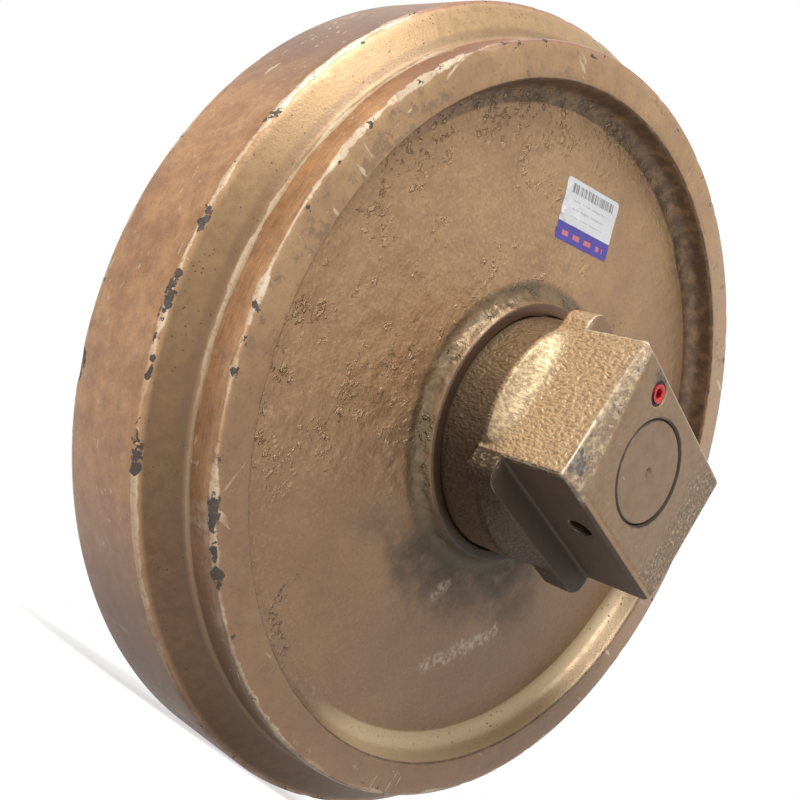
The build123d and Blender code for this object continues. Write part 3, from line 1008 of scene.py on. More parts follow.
class BracketPaintwork(Paintwork):
    """A bracket's paint, laid on coat by coat."""

    def __init__(self, finish: BracketFinish) -> None:
        """Start the tree and find out where each point lies.

        Args:
            finish: The colours.
        """
        super().__init__(finish.name, finish.paint)
        self.finish = finish
        self.zones = BracketZones(self.graph)

    def base(self) -> None:
        """Spray the casting with its front face paler as painted light, its collar, and its underside dark
        as painted shade.
        """
        graph, zones, finish = self.graph, self.zones, self.finish
        tone = graph.plus(graph.times(zones.broad, 0.5), graph.times(zones.mottle, 0.35))
        self.colour = graph.mix(tone, self.paint.brown, self.paint.gold)
        # Painted light: the front face, which faces the key lamp, is paler.
        self.lay(finish.front, graph.step(zones.x, -0.0590, -0.0625), 0.75)
        self.lay(finish.collar, zones.collar, 0.80)
        self.lay(finish.underside_shade, zones.under, 0.85)

    def machined(self) -> None:
        """Lay the end face, and the guide faces dark from dirt and painted shade, over it."""
        graph, zones, finish = self.graph, self.zones, self.finish
        self.lay(graph.mix(zones.mottle, finish.end_dull, finish.end_bright), zones.end, 0.85)
        # The guide faces are dark from dirt and painted shade.
        mottled = graph.patches(0.012, 0.3, 0.7, 6.0, 0.65)
        guide_tone = graph.mix(mottled, finish.guide_dark, finish.guide_light)
        self.lay(guide_tone, zones.guide, 0.92)
        self.lay(self.paint.shade, zones.upper_guide, 0.45)
        speckle = graph.noise(0.0024, 4.0, 0.65)
        self.lay(finish.speckle_dark, zones.rear_strip, graph.step(speckle, 0.46, 0.58), 0.75)
        self.lay(finish.speckle_light, zones.rear_strip, graph.step(speckle, 0.44, 0.34), 0.75)

    def rough(self) -> None:
        """Lay the coves, the ground corner and the cast skin over it."""
        graph, zones, finish = self.graph, self.zones, self.finish
        cove_tone = graph.mix(graph.step(zones.streak, 0.40, 0.62), finish.cove_light, finish.cove_dark)
        self.lay(cove_tone, zones.cove, 0.88)
        hollow = graph.step(zones.relief, 0.36, 0.56)
        ground_tone = graph.mix(hollow, finish.ground_light, finish.ground_dark)
        self.lay(ground_tone, zones.ground, 0.80)
        steel_tone = graph.mix(graph.step(zones.scale, 0.42, 0.60), finish.steel_dark, finish.steel_light)
        self.lay(steel_tone, zones.bared, 0.85)
        smooth = graph.over(zones.cove, zones.collar, zones.under)
        tips = graph.times(zones.cast, graph.blend(smooth, 0.42, 0.06))
        hollows = graph.times(zones.cast, graph.blend(zones.cove, 0.34, 0.12))
        self.skin(zones.grain, hollows, tips)

    def wear(self) -> None:
        """Lay rubbed corners, flecks of painted glint, scuffs, and painted shade in the groove, the inner
        corners, the pin's hole and the gap round the axle over it.
        """
        graph, zones, finish = self.graph, self.zones, self.finish
        self.lay(self.paint.rubbed, zones.worn, 0.85)
        flecks = graph.times(zones.end, graph.patches(0.0030, 0.665, 0.70, 4.0, 0.65))
        self.lay(self.paint.glint, flecks, 0.55)
        scuff_tone = graph.mix(graph.step(zones.scale, 0.45, 0.58), finish.scuff_dark, finish.scuff_light)
        self.lay(scuff_tone, zones.scuff, 0.80)
        # Painted shade in the groove round the axle and in the inner corners.
        self.lay(finish.groove_and_corner_shade, graph.painted("painted_shade"), 0.70)
        # Painted shade on the wall of the lock pin's hole.
        self.lay(finish.pin_hole_shade, zones.pin_hole_shade, 0.94)
        # Painted shade in the gap round the axle's end.
        self.lay(finish.gap, zones.gap, 0.94)

    def relief(self) -> Socket:
        """Raise the grain and streaks that are too small for the mesh.

        Returns:
            The normal.
        """
        graph, zones = self.graph, self.zones
        normal = graph.bump(graph.noise(0.0075, 2.0, 0.5), 0.0012, None, graph.times(zones.cast, 0.5))
        normal = graph.bump(zones.grain, 0.0013, normal, graph.times(zones.cast, 0.9))
        broken = graph.over(
            graph.times(zones.ground, 0.8),
            graph.times(zones.rear_strip, 0.45),
            graph.times(zones.scuff, 0.4),
        )
        normal = graph.bump(zones.relief, 0.0016, normal, broken)
        normal = graph.bump(zones.streak, 0.0007, normal, graph.times(zones.cove, 0.6))
        fine = graph.noise(0.0010, 3.0, 0.6)
        return graph.bump(fine, 0.00022, normal, graph.blend(zones.cast, 0.35, 0.8))

    def make(self) -> bpy.types.Material:
        """Build the material.

        Returns:
            The material.
        """
        graph, zones = self.graph, self.zones
        for lay_on in (self.base, self.machined, self.rough, self.wear):
            lay_on()
        dull = graph.over(zones.guide, zones.under)
        roughness = graph.blend(zones.cast, graph.blend(zones.mottle, 0.36, 0.46), 0.38)
        roughness = graph.blend(dull, roughness, 0.64)
        metallic = graph.blend(zones.bared, graph.blend(dull, 0.40, 0.10), 0.75)
        return graph.surface(self.colour, roughness, metallic, self.relief())


@dataclass(frozen=True)
class AxleFinish:
    """Bronze paint over the axle's end faces with painted shade round their edge, ground steel behind them.
    """

    name: str = "axle_end_paint"
    paint: BronzePaint = field(default_factory=BronzePaint)
    end_dull: Colour = srgb(138, 110, 82)
    end_bright: Colour = srgb(152, 124, 95)
    rim: Colour = srgb(48, 38, 30)
    steel: Colour = srgb(140, 138, 134)
    scraped_side: Pair = (-0.9, -0.4)

    def make(self) -> bpy.types.Material:
        """Build the material.

        Returns:
            The material.
        """
        graph = Graph(self.name)
        radius, distance = graph.turned()
        colour = graph.mix(graph.patches(0.010, 0.3, 0.7, 6.0, 0.6), self.end_dull, self.end_bright)
        ragged = graph.times(graph.noise(0.006, 5.0, 0.65), 0.0018)
        # Painted shade: a dark ragged ring round the end face's edge, in the gap by the bracket.
        colour = graph.lay(colour, self.rim, graph.step(graph.plus(radius, ragged), 0.0322, 0.0328), 0.9)
        colour = graph.lay(colour, self.paint.shade, graph.step(radius, 0.0036, 0.0030), 0.55)
        scrape = graph.patches(0.004, 0.70, 0.73, 3.0, 0.5, graph.stretched(0.2, 1.0, 1.0))
        away = graph.step(graph.toward(self.scraped_side), 0.0, 0.02)
        colour = graph.lay(colour, self.paint.rubbed, scrape, away, 0.5)
        painted = graph.step(distance, 0.1600, 0.1612)
        colour = graph.mix(painted, self.steel, colour)
        normal = graph.bump(graph.noise(0.0015, 4.0, 0.6), 0.0002, None, 0.5)
        roughness = graph.blend(painted, 0.28, 0.40)
        return graph.surface(colour, roughness, graph.blend(painted, 0.95, 0.38), normal)


@dataclass(frozen=True)
class MachinedMetal:
    """Turned or ground metal with fine marks."""

    name: str
    bright: Colour
    dull: Colour
    roughness: float = 0.32
    metallic: float = 0.95
    mark_size: float = 0.0006

    def make(self) -> bpy.types.Material:
        """Build the material.

        Returns:
            The material.
        """
        graph = Graph(self.name)
        tone = graph.patches(0.008, 0.3, 0.7, 6.0, 0.6)
        colour = graph.mix(tone, self.dull, self.bright)
        marks = graph.noise(self.mark_size, 2.0, 0.5, graph.stretched(0.2, 1.0, 0.2))
        normal = graph.bump(marks, 0.00005, None, 0.6)
        roughness = graph.blend(tone, self.roughness + 0.1, self.roughness)
        return graph.surface(colour, roughness, self.metallic, normal)


@dataclass(frozen=True)
class BlackRubber:
    """Oily black nitrile rubber."""

    name: str = "seal_rubber"
    dark: Colour = srgb(18, 17, 17)
    light: Colour = srgb(42, 38, 36)

    def make(self) -> bpy.types.Material:
        """Build the material.

        Returns:
            The material.
        """
        graph = Graph(self.name)
        tone = graph.noise(0.003, 5.0, 0.6)
        colour = graph.mix(tone, self.dark, self.light)
        return graph.surface(colour, graph.blend(tone, 0.38, 0.55), 0.0, graph.bump(tone, 0.00008))


@dataclass(frozen=True)
class RedLacquer:
    """Glossy red lacquer on the oil plug, with painted shade in its socket."""

    name: str = "plug_red_lacquer"
    middle: Pair = (-0.033, 0.035)
    deep: Colour = srgb(196, 34, 42)
    bright: Colour = srgb(226, 60, 64)
    socket: Colour = srgb(70, 14, 16)

    def make(self) -> bpy.types.Material:
        """Build the material.

        Returns:
            The material.
        """
        graph = Graph(self.name)
        x, _, z = graph.axes()
        away_x = graph.math("SUBTRACT", x, self.middle[0])
        away_z = graph.math("SUBTRACT", z, self.middle[1])
        away = graph.length(away_x, away_z)
        tone = graph.patches(0.002, 0.3, 0.7, 4.0, 0.6)
        colour = graph.mix(tone, self.deep, self.bright)
        # Painted shade in the hex socket.
        colour = graph.lay(colour, self.socket, graph.step(away, 0.0032, 0.0026))
        return graph.surface(colour, graph.blend(tone, 0.28, 0.4), 0.0, graph.bump(tone, 0.00006))


@dataclass(frozen=True)
class PaperLabel:
    """White gummed label with generic bars and a plain violet band."""

    name: str = "label_print"
    paper_dull: Colour = srgb(228, 228, 230)
    paper_white: Colour = srgb(240, 240, 241)
    bars: Colour = srgb(44, 42, 48)
    rules: Colour = srgb(120, 120, 130)
    violet: Colour = srgb(82, 70, 168)
    marks: Colour = srgb(232, 132, 110)

    def make(self) -> bpy.types.Material:
        """Build the material; places on the label are shares of its width and height.

        Returns:
            The material.
        """
        graph = Graph(self.name)
        spot = graph.add("ShaderNodeSeparateXYZ")
        graph.feed(spot.inputs[0], graph.add("ShaderNodeUVMap", uv_map="UVMap").outputs[0])
        across, up = spot.outputs[0], spot.outputs[1]
        line = graph.add("ShaderNodeCombineXYZ")
        graph.feed(line.inputs[0], across)
        upright = line.outputs[0]
        colour = graph.mix(graph.noise(0.004, 4.0), self.paper_dull, self.paper_white)
        bars = graph.times(
            graph.patches(0.016, 0.49, 0.51, 1.0, 0.5, upright),
            graph.band(across, 0.10, 0.90, 0.002),
            graph.band(up, 0.78, 0.93, 0.003),
        )
        colour = graph.lay(colour, self.bars, bars, 0.85)
        heights = ((0.66, 0.69), (0.53, 0.56), (0.41, 0.43))
        rules = graph.over(*(graph.band(up, low, high, 0.004) for low, high in heights))
        dashes = graph.patches(0.05, 0.42, 0.47, 1.0, 0.5, upright)
        colour = graph.lay(colour, self.rules, rules, dashes, graph.band(across, 0.18, 0.80, 0.004), 0.35)
        colour = graph.lay(colour, self.violet, graph.step(up, 0.292, 0.284))
        marks = graph.times(
            graph.patches(0.11, 0.47, 0.50, 0.0, 0.5, upright),
            graph.band(up, 0.09, 0.17, 0.004),
            graph.band(across, 0.1, 0.9, 0.004),
        )
        colour = graph.lay(colour, self.marks, marks, 0.8)
        return graph.surface(colour, 0.38, 0.0, graph.bump(graph.noise(0.003, 3.0), 0.00005, None, 0.5))


def deselect() -> None:
    """Leave edit mode and select nothing."""
    if bpy.context.object is not None and bpy.context.object.mode != "OBJECT":
        bpy.ops.object.mode_set(mode="OBJECT")
    bpy.ops.object.select_all(action="DESELECT")


def activate(piece: bpy.types.Object) -> None:
    """Select one object only and make it active.

    Args:
        piece: The object.
    """
    deselect()
    piece.select_set(True)
    bpy.context.view_layer.objects.active = piece


def settle(piece: bpy.types.Object, name: str) -> None:
    """Name a piece and put its place, turn and scale into its mesh.

    Args:
        piece: The piece.
        name: Its name.
    """
    activate(piece)
    piece.name = name
    piece.data.name = name
    bpy.ops.object.transform_apply(location=True, rotation=True, scale=True)


def rows_of(piece: bpy.types.Object, name: str) -> np.ndarray:
    """Read the vertices of a mesh piece.

    Args:
        piece: The piece.
        name: "co" for coordinates or "normal" for normals.

    Returns:
        One row for each vertex.
    """
    flat = np.zeros(len(piece.data.vertices) * 3)
    piece.data.vertices.foreach_get(name, flat)
    return flat.reshape(-1, 3)


def move_points(piece: bpy.types.Object, places: np.ndarray) -> None:
    """Put a mesh piece's vertices at new places."""
    piece.data.vertices.foreach_set("co", places.reshape(-1))
    piece.data.update()


def store(piece: bpy.types.Object, name: str, shares: np.ndarray) -> None:
    """Store a share from 0 to 1 at each vertex, for the material to read.

    Args:
        piece: The piece.
        name: Name of the attribute.
        shares: One share for each vertex.
    """
    attribute = piece.data.attributes.new(name, "FLOAT", "POINT")
    attribute.data.foreach_set("value", np.clip(shares, 0.0, 1.0).astype(np.float32))


def lumps(places: np.ndarray, size: float, octaves: int, seed: float) -> np.ndarray:
    """Smooth noise at each place, about -1 to 1.

    Args:
        places: Coordinates, one row each.
        size: Size of a lump in metres.
        octaves: Number of finer layers.
        seed: Shift of the pattern.

    Returns:
        One value for each place.
    """
    shift = Vector((seed, seed * 0.7, -seed))
    rows = (Vector(row) / size + shift for row in places)
    values = (noise.fractal(row, 1.0, 2.0, octaves) for row in rows)
    return np.fromiter(values, float, len(places))


def spots(
    places: np.ndarray, centres: Iterable[tuple[Point, float]], ragged: np.ndarray, stretch: float
) -> np.ndarray:
    """Ragged spots round given points.

    Args:
        places: Coordinates, one row each.
        centres: Middle and radius of each spot.
        ragged: Noise that breaks up the outlines.
        stretch: How much longer a spot is along the wheel's turning than across it.

    Returns:
        1 inside a spot and 0 away from it.
    """
    result = np.zeros(len(places))
    for centre, radius in centres:
        middle = np.array(centre)
        run = np.array([-middle[2], 0.0, middle[0]]) / math.hypot(middle[0], middle[2])
        offset = places - middle
        along = offset @ run
        across = np.sqrt(np.maximum((offset**2).sum(1) - along**2, 0.0))
        away = np.hypot(along / stretch, across) / radius
        result = np.maximum(result, ease(away + 0.45 * ragged, 1.15, 0.85))
    return result


def strokes(
    places: np.ndarray, routes: Iterable[tuple[list[Pair], float]], wander: np.ndarray
) -> np.ndarray:
    """Lines drawn on a disc face along routes of (x, z) points.

    Args:
        places: Coordinates, one row each.
        routes: Each line's points and half width, in metres.
        wander: Noise that makes the lines uneven, in metres.

    Returns:
        1 on a line and 0 away from it.
    """
    flat = places[:, [0, 2]]
    result = np.zeros(len(places))
    for route, width in routes:
        for start, end in zip(route, route[1:]):
            first = np.array(start)
            along = np.array(end) - first
            share = np.clip(((flat - first) @ along) / (along @ along), 0.0, 1.0)
            away = np.linalg.norm(flat - first - share[:, None] * along, axis=1) + wander
            result = np.maximum(result, ease(away, 1.4 * width, 0.6 * width))
    return result


def dress(piece: bpy.types.Object, material: bpy.types.Material) -> None:
    """Give a piece one material in place of those it has."""
    piece.data.materials.clear()
    piece.data.materials.append(material)


@dataclass
class Wheel:
    """Idler wheel: centre flange, treads, dished webs and hub, with its as-cast and rubbed surfaces."""

    flange_radius: float = 0.270
    outermost: float = 0.26990
    flange_half_width: float = 0.03275
    flange_chamfer: float = 0.003
    flank_angle: float = 33.0
    flank_root_fillet: float = 0.006
    tread_radius: float = 0.2475
    tread_chamfer: float = 0.003
    rim_face: float = 0.07125
    lip_radius: float = 0.225
    dish_floor: float = 0.05275
    dish_draft: float = 15.0
    dish_fillet: float = 0.011
    web_rise: float = 0.0045
    hub_face: float = 0.06725
    hub_ring_radius: float = 0.0865
    hub_ring_chamfer: float = 0.0012
    hub_root_draft: float = 25.0
    hub_root_fillet: float = 0.009
    labyrinth_radius: float = 0.080
    labyrinth_floor: float = 0.05775
    housing_mouth_radius: float = 0.0590
    housing_floor_radius: float = 0.0551
    housing_floor: float = 0.0467
    recess_radius: float = 0.0435
    bush_seat: float = 0.0450
    bore_radius: float = 0.03757
    bore_end: float = 0.0110
    chamber_radius: float = 0.0411
    steps: int = 384

    def corners(self) -> list[tuple[float, float, float, float]]:
        """List the corners of the half section.

        Returns:
            Radius, distance, rounding radius and longest edge to the next corner, for each corner.
        """
        draft = math.tan(math.radians(self.dish_draft))
        flank = math.tan(math.radians(self.flank_angle))
        flank_foot = self.flange_half_width + (self.flange_radius - self.tread_radius) * flank
        dish_foot = self.lip_radius - (self.rim_face - self.dish_floor) * draft
        web_top = self.dish_floor + self.web_rise
        hub_draft = math.tan(math.radians(self.hub_root_draft))
        hub_foot = self.hub_ring_radius + (self.hub_face - web_top) * hub_draft
        return [
            (self.chamber_radius, 0.0, 0.0, 1.0),
            (self.chamber_radius, self.bore_end, 0.0, 1.0),
            (self.bore_radius, self.bore_end, 0.0, 1.0),
            (self.bore_radius, self.bush_seat, 0.0, 1.0),
            (self.recess_radius, self.bush_seat, 0.0, 1.0),
            (self.recess_radius, self.housing_floor, 0.0, 1.0),
            (self.housing_floor_radius, self.housing_floor, 0.0, 1.0),
            (self.housing_mouth_radius, self.labyrinth_floor, 0.0, 1.0),
            (self.labyrinth_radius, self.labyrinth_floor, 0.0, 1.0),
            (self.labyrinth_radius, self.hub_face, 0.0005, 0.0040),
            (self.hub_ring_radius, self.hub_face, self.hub_ring_chamfer, 0.0020),
            (hub_foot, web_top, self.hub_root_fillet, 0.0019),
            (dish_foot, self.dish_floor, self.dish_fillet, 0.0024),
            (self.lip_radius, self.rim_face, 0.0014, 0.0050),
            (self.tread_radius, self.rim_face, self.tread_chamfer, 0.0060),
            (self.tread_radius, flank_foot, self.flank_root_fillet, 0.0060),
            (self.flange_radius, self.flange_half_width, self.flange_chamfer, 0.0100),
            (self.flange_radius, 0.0, 0.0, 1.0),
        ]

    def section(self, coarse: float) -> list[Pair]:
        """Half section with its corners rounded and its long edges divided.

        Args:
            coarse: How many times longer the divided edges may be.

        Returns:
            Points as (radius, distance), from the middle plane out and back.
        """
        rounded: list[tuple[Pair, float]] = []
        corners = self.corners()
        for index, (radius, distance, size, edge) in enumerate(corners):
            here = Vector((radius, distance))
            if size == 0.0:
                rounded.append(((radius, distance), edge))
                continue
            before = (Vector(corners[index - 1][:2]) - here).normalized()
            after = (Vector(corners[index + 1][:2]) - here).normalized()
            opening = before.angle(after)
            reach = size / math.tan(opening / 2)
            start, end = here + before * reach, here + after * reach
            middle = here + (before + after).normalized() * (size / math.sin(opening / 2))
            count = 2 if size < 0.004 else 6
            turn = (start - middle).angle_signed(end - middle)
            for part in range(count + 1):
                spoke = (start - middle).copy()
                spoke.rotate(Matrix.Rotation(-turn * part / count, 2))
                spot = middle + spoke
                rounded.append(((spot.x, spot.y), edge if part == count else 1.0))
        divided: list[Pair] = []
        for (first, edge), (second, _) in zip(rounded, rounded[1:]):
            start, end = Vector(first), Vector(second)
            parts = max(1, math.ceil((end - start).length / (edge * coarse)))
            divided += [tuple(start.lerp(end, part / parts)) for part in range(parts)]
        divided.append(rounded[-1][0])
        return divided

    def turn_section(self) -> bpy.types.Object:
        """Draw the section as a wire, mirror it and spin it round the axle.

        Returns:
            The turned wheel.
        """
        near, far = self.section(1.0), self.section(2.4)
        loop = [(r, -d) for r, d in near] + [(r, d) for r, d in reversed(far)][1:]
        deselect()
        bpy.ops.mesh.primitive_plane_add(size=0.01, location=(0.0, 0.0, 0.0))
        piece = bpy.context.active_object
        bpy.ops.object.mode_set(mode="EDIT")
        bpy.ops.mesh.select_all(action="SELECT")
        bpy.ops.mesh.merge(type="CENTER")
        bpy.ops.transform.translate(value=(loop[0][0], loop[0][1], 0.0))
        for start, end in zip(loop, loop[1:] + loop[:1]):
            step = (end[0] - start[0], end[1] - start[1], 0.0)
            bpy.ops.mesh.extrude_region_move(TRANSFORM_OT_translate={"value": step})
        bpy.ops.mesh.select_all(action="SELECT")
        bpy.ops.mesh.remove_doubles(threshold=1e-6)
        bpy.ops.mesh.spin(steps=self.steps, angle=math.tau, center=(0, 0, 0), axis=(0, 1, 0))
        bpy.ops.mesh.select_all(action="SELECT")
        bpy.ops.mesh.remove_doubles(threshold=1e-5)
        bpy.ops.mesh.normals_make_consistent(inside=False)
        bpy.ops.object.mode_set(mode="OBJECT")
        return piece

    def relief(self, piece: bpy.types.Object) -> None:
        """Give the cast surfaces their lumps and the edges their knocks, and store the masks.

        Args:
            piece: The turned wheel.
        """
        places = rows_of(piece, "co")
        normals = rows_of(piece, "normal")
        radius = np.hypot(places[:, 0], places[:, 2])
        distance = np.abs(places[:, 1])
        facing = (0.259 * places[:, 2] - 0.966 * places[:, 0]) / np.maximum(radius, 1e-6)
        left = places[:, 1] < 0
        coarse = lumps(places, 0.024, 3, 3.1)
        middle = lumps(places, 0.0095, 3, 11.7)
        fine = lumps(places, 0.0050, 2, 27.3)
        broad = lumps(places, 0.070, 2, 41.9)

        open_face = ease(distance, 0.045, 0.050)
        web = ease(radius, 0.0885, 0.094) * ease(radius, 0.2235, 0.2170) * open_face
        forward = ease(facing + 0.30 * broad, 0.25, 0.70)
        rim_side = ease(radius, 0.196, 0.212)
        rough = web * np.clip(0.08 + 0.80 * forward + 0.40 * rim_side * ease(facing, -0.6, 0.2), 0.0, 1.0)
        hub_edge = ease(radius, 0.0862, 0.0885) * ease(radius, 0.104, 0.094) * open_face
        rough = np.maximum(rough, hub_edge * (0.35 + 0.65 * ease(facing + 0.3 * broad, -0.1, 0.5)))
        height = web * 0.0007 * broad + rough * (0.00060 * coarse + 0.00030 * middle)
        ridge = 1 - np.abs(lumps(places, 0.016, 2, 57.0))
        height += rough * 0.0007 * ease(ridge, 0.88, 0.99) * ease(coarse, 0.0, 0.4)
        height += rough * 0.0010 * ease(fine, 0.25, 0.75) * ease(broad + 0.6 * coarse, -0.1, 0.5)
        height -= rough * 0.0007 * ease(-fine, 0.35, 0.80) * ease(-coarse, -0.1, 0.4)

        from_flange = np.hypot(radius - self.flange_radius, distance - self.flange_half_width)
        from_tread = np.hypot(radius - self.tread_radius, distance - self.rim_face)
        from_lip = np.hypot(radius - self.lip_radius, distance - self.rim_face)
        flange_edge = ease(from_flange, 0.0055, 0.0015)
        tread_edge = ease(from_tread, 0.0055, 0.0015)
        lip_edge = ease(from_lip, 0.0040, 0.0010)
        edges = np.maximum(np.maximum(flange_edge, tread_edge), lip_edge)
        height -= 0.0005 * edges * left * ease(middle + 0.5 * coarse, 0.15, 0.75)

        knocks = [
            ((-0.2478, -0.0318, -0.1007), 0.0064), ((-0.2583, -0.0318, -0.0635), 0.0044),
            ((-0.2276, -0.0318, -0.1397), 0.0040), ((-0.2041, -0.0318, -0.1726), 0.0060),
            ((-0.1546, -0.0705, -0.1943), 0.0042), ((-0.1700, -0.0705, -0.1800), 0.0038),
            ((-0.1460, -0.0705, -0.2005), 0.0048), ((-0.1769, -0.0708, -0.1715), 0.0034),
            ((-0.2252, 0.0290, -0.1490), 0.0062), ((-0.0300, -0.0318, 0.2680), 0.0050),
            ((0.1900, 0.0310, 0.1900), 0.0070), ((0.2640, -0.0305, 0.0500), 0.0065),
            ((0.0900, 0.0705, -0.2300), 0.0058), ((-0.1200, 0.0705, 0.2160), 0.0066),
        ]
        chipped = spots(places, knocks, middle, 1.7)
        height -= 0.0006 * chipped * np.minimum(flange_edge + tread_edge, 1.0)
        moved = places + normals * height[:, None]
        moved[:, [0, 2]] *= np.minimum(1.0, self.outermost / np.hypot(moved[:, 0], moved[:, 2]))[:, None]
        move_points(piece, moved)

        cracks = [
            ([(-0.0273, 0.0856), (-0.0170, 0.0905), (-0.0106, 0.0939)], 0.0070),
            ([(0.0098, 0.1146), (0.0260, 0.1200), (0.0430, 0.1212)], 0.0080),
            ([(-0.0907, -0.1684), (-0.0830, -0.1850), (-0.0684, -0.2031), (-0.0350, -0.2110)], 0.0080),
            ([(-0.1180, -0.0150), (-0.1240, -0.0600), (-0.1300, -0.0950)], 0.0110),
        ]
        smears = [
            ([(0.0601, -0.1536), (0.0700, -0.1440)], 0.0050),
            ([(0.0740, -0.1400), (0.0800, -0.1280)], 0.0048),
            ([(0.0850, -0.1270), (0.0930, -0.1150)], 0.0045),
            ([(0.0980, -0.1120), (0.1050, -0.1010)], 0.0042),
            ([(0.0260, -0.1180), (0.0300, -0.1060)], 0.0040),
        ]
        store(piece, "rough", rough)
        store(piece, "chipped", chipped)
        store(piece, "crack", strokes(places, cracks, 0.0030 * middle) * web * left)
        store(piece, "chalk", strokes(places, smears, 0.0022 * middle) * web * left)

    def build(self, finish: WheelFinish) -> bpy.types.Object:
        """Build and dress the wheel.

        Args:
            finish: Its paint.

        Returns:
            The wheel.
        """
        piece = self.turn_section()
        settle(piece, "wheel_casting")
        self.relief(piece)
        dress(piece, finish.make())
        activate(piece)
        bpy.ops.object.shade_smooth_by_angle(angle=math.radians(35))
        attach(piece, "wheel")
        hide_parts("idler_wheel")
        log.info("wheel casting: %d vertices", len(piece.data.vertices))
        return piece


@dataclass
class Bracket:
    """One bracket casting, remeshed from its exact solid so that grain and knocks are real relief."""

    side: Side
    voxel: float = 0.00095
    outermost: float = 0.16299
    plug: Pair = (-0.033, 0.035)
    scuff: Pair = (-0.0405, 0.0415)
    low_bare: Pair = (-0.0590, -0.0360)
    high_bare: Pair = (-0.0570, 0.0330)

    def copy_casting(self, node: bpy.types.Object) -> bpy.types.Object:
        """Copy the bracket's solid, weld it and divide it evenly.

        Args:
            node: The exact solid.

        Returns:
            The copy.
        """
        deselect()
        piece = bpy.data.objects.new("bracket_casting", node.data.copy())
        bpy.context.scene.collection.objects.link(piece)
        activate(piece)
        bpy.ops.object.mode_set(mode="EDIT")
        bpy.ops.mesh.select_all(action="SELECT")
        bpy.ops.mesh.remove_doubles(threshold=1e-6)
        bpy.ops.object.mode_set(mode="OBJECT")
        remesh = piece.modifiers.new("even", "REMESH")
        remesh.mode = "VOXEL"
        remesh.voxel_size = self.voxel
        bpy.ops.object.modifier_apply(modifier=remesh.name)
        smooth = piece.modifiers.new("ease", "SMOOTH")
        smooth.factor = 0.5
        smooth.iterations = 2
        bpy.ops.object.modifier_apply(modifier=smooth.name)
        return piece

    def sharpness(
        self, piece: bpy.types.Object, places: np.ndarray, normals: np.ndarray
    ) -> tuple[np.ndarray, np.ndarray]:
        """How far each vertex stands out of, or lies below, its neighbours.

        Args:
            piece: The remeshed casting.
            places: Its vertices.
            normals: Its vertex normals.

        Returns:
            Share of sharp outer edge, and share of inner corner.
        """
        mesh = piece.data
        ends = np.zeros(len(mesh.edges) * 2, int)
        mesh.edges.foreach_get("vertices", ends)
        ends = ends.reshape(-1, 2)
        count = np.zeros(len(places))
        total = np.zeros_like(places)
        for one, other in ((0, 1), (1, 0)):
            np.add.at(total, ends[:, one], places[ends[:, other]])
            np.add.at(count, ends[:, one], 1)
        above = ((places - total / np.maximum(count, 1)[:, None]) * normals).sum(1) / self.voxel
        for _ in range(3):
            spread = np.zeros(len(places))
            for one, other in ((0, 1), (1, 0)):
                np.add.at(spread, ends[:, one], above[ends[:, other]])
            above = 0.5 * above + 0.5 * spread / np.maximum(count, 1)
        return ease(above, 0.03, 0.12), ease(-above, 0.03, 0.12)

    def relief(self, piece: bpy.types.Object) -> None:
        """Give the cast faces their grain and the corners their wear, and store the masks, among them those
        for painted shade in the groove, the inner corners and underneath.

        Args:
            piece: The remeshed casting.
        """
        places = rows_of(piece, "co")
        normals = rows_of(piece, "normal")
        edge, corner = self.sharpness(piece, places, normals)
        x, z = places[:, 0], places[:, 2]
        out = places[:, 1] * self.side.value
        radius = np.hypot(x, z)
        grain = lumps(places, 0.0034, 2, 5.0 + self.side.value)
        middle = lumps(places, 0.010, 3, 15.0)
        broad = lumps(places, 0.030, 2, 25.0)

        front = ease(-x, 0.0600, 0.0630) * (out > 0.0935)
        outer = np.maximum(ease(radius, 0.0755, 0.0775), ease(out, 0.0935, 0.0945) * (radius > 0.036))
        inboard = outer * ease(out, 0.1148, 0.1140) * ease(x, 0.0768, 0.0756) * ease(out, 0.0660, 0.0680)
        slope = np.abs(normals[:, 1])
        cove = front * ease(-x, 0.0646, 0.0656) * ease(slope, 0.12, 0.40) * (out < 0.1158)
        by_end = (out > 0.1570) * ease(0.1627 - out, 0.0, 0.0008)
        ground = ease(slope, 0.20, 0.35) * by_end * ease(-x, 0.030, 0.040)
        ground = np.maximum(ground, front * ease(out + 0.003 * middle, 0.1530, 0.1570) * 0.75)
        ledge = ease(np.abs(z), 0.0484, 0.0492) * ease(slope, 0.7, 0.9) * (out > 0.1130)
        cast = np.maximum(front, inboard * (1 - ledge)) * (1 - 0.75 * cove) * (1 - 0.8 * ground)
        height = cast * (0.00016 * grain + 0.00022 * middle) + ground * (0.00030 * middle + 0.00012 * grain)
        height += inboard * 0.0003 * broad
        height -= edge * 0.0005 * ease(middle + 0.4 * broad, 0.0, 0.7) * (radius > 0.036)
        moved = places + normals * height[:, None]
        moved[:, 1] = np.clip(moved[:, 1], -self.outermost, self.outermost)
        move_points(piece, moved)

        end = ease(out, 0.1618, 0.1626)
        # Painted shade in the groove round the axle, wider on one side, and in the inner corners.
        turn = (x * 0.93 + z * 0.37) / np.maximum(radius, 1e-6)
        reach = 0.0010 + 0.0011 * ease(turn, -0.5, 0.6)
        groove = ease(radius - 0.0326 + 0.0004 * middle, reach + 0.0006, reach - 0.0002) * (out > 0.156)
        corner_shade = corner * ease(out, 0.1180, 0.1165) * (out > 0.094) * (np.abs(z) > 0.046)
        painted_shade = np.maximum(groove, 0.7 * corner_shade)
        middles = (self.plug, self.scuff, self.low_bare, self.high_bare)
        gaps = [np.hypot(x - spot[0], z - spot[1]) for spot in middles]
        from_plug, from_scuff, from_low, from_high = gaps
        bare = np.maximum(ease(from_low, 0.0170, 0.0), 0.7 * ease(from_high, 0.0150, 0.0))
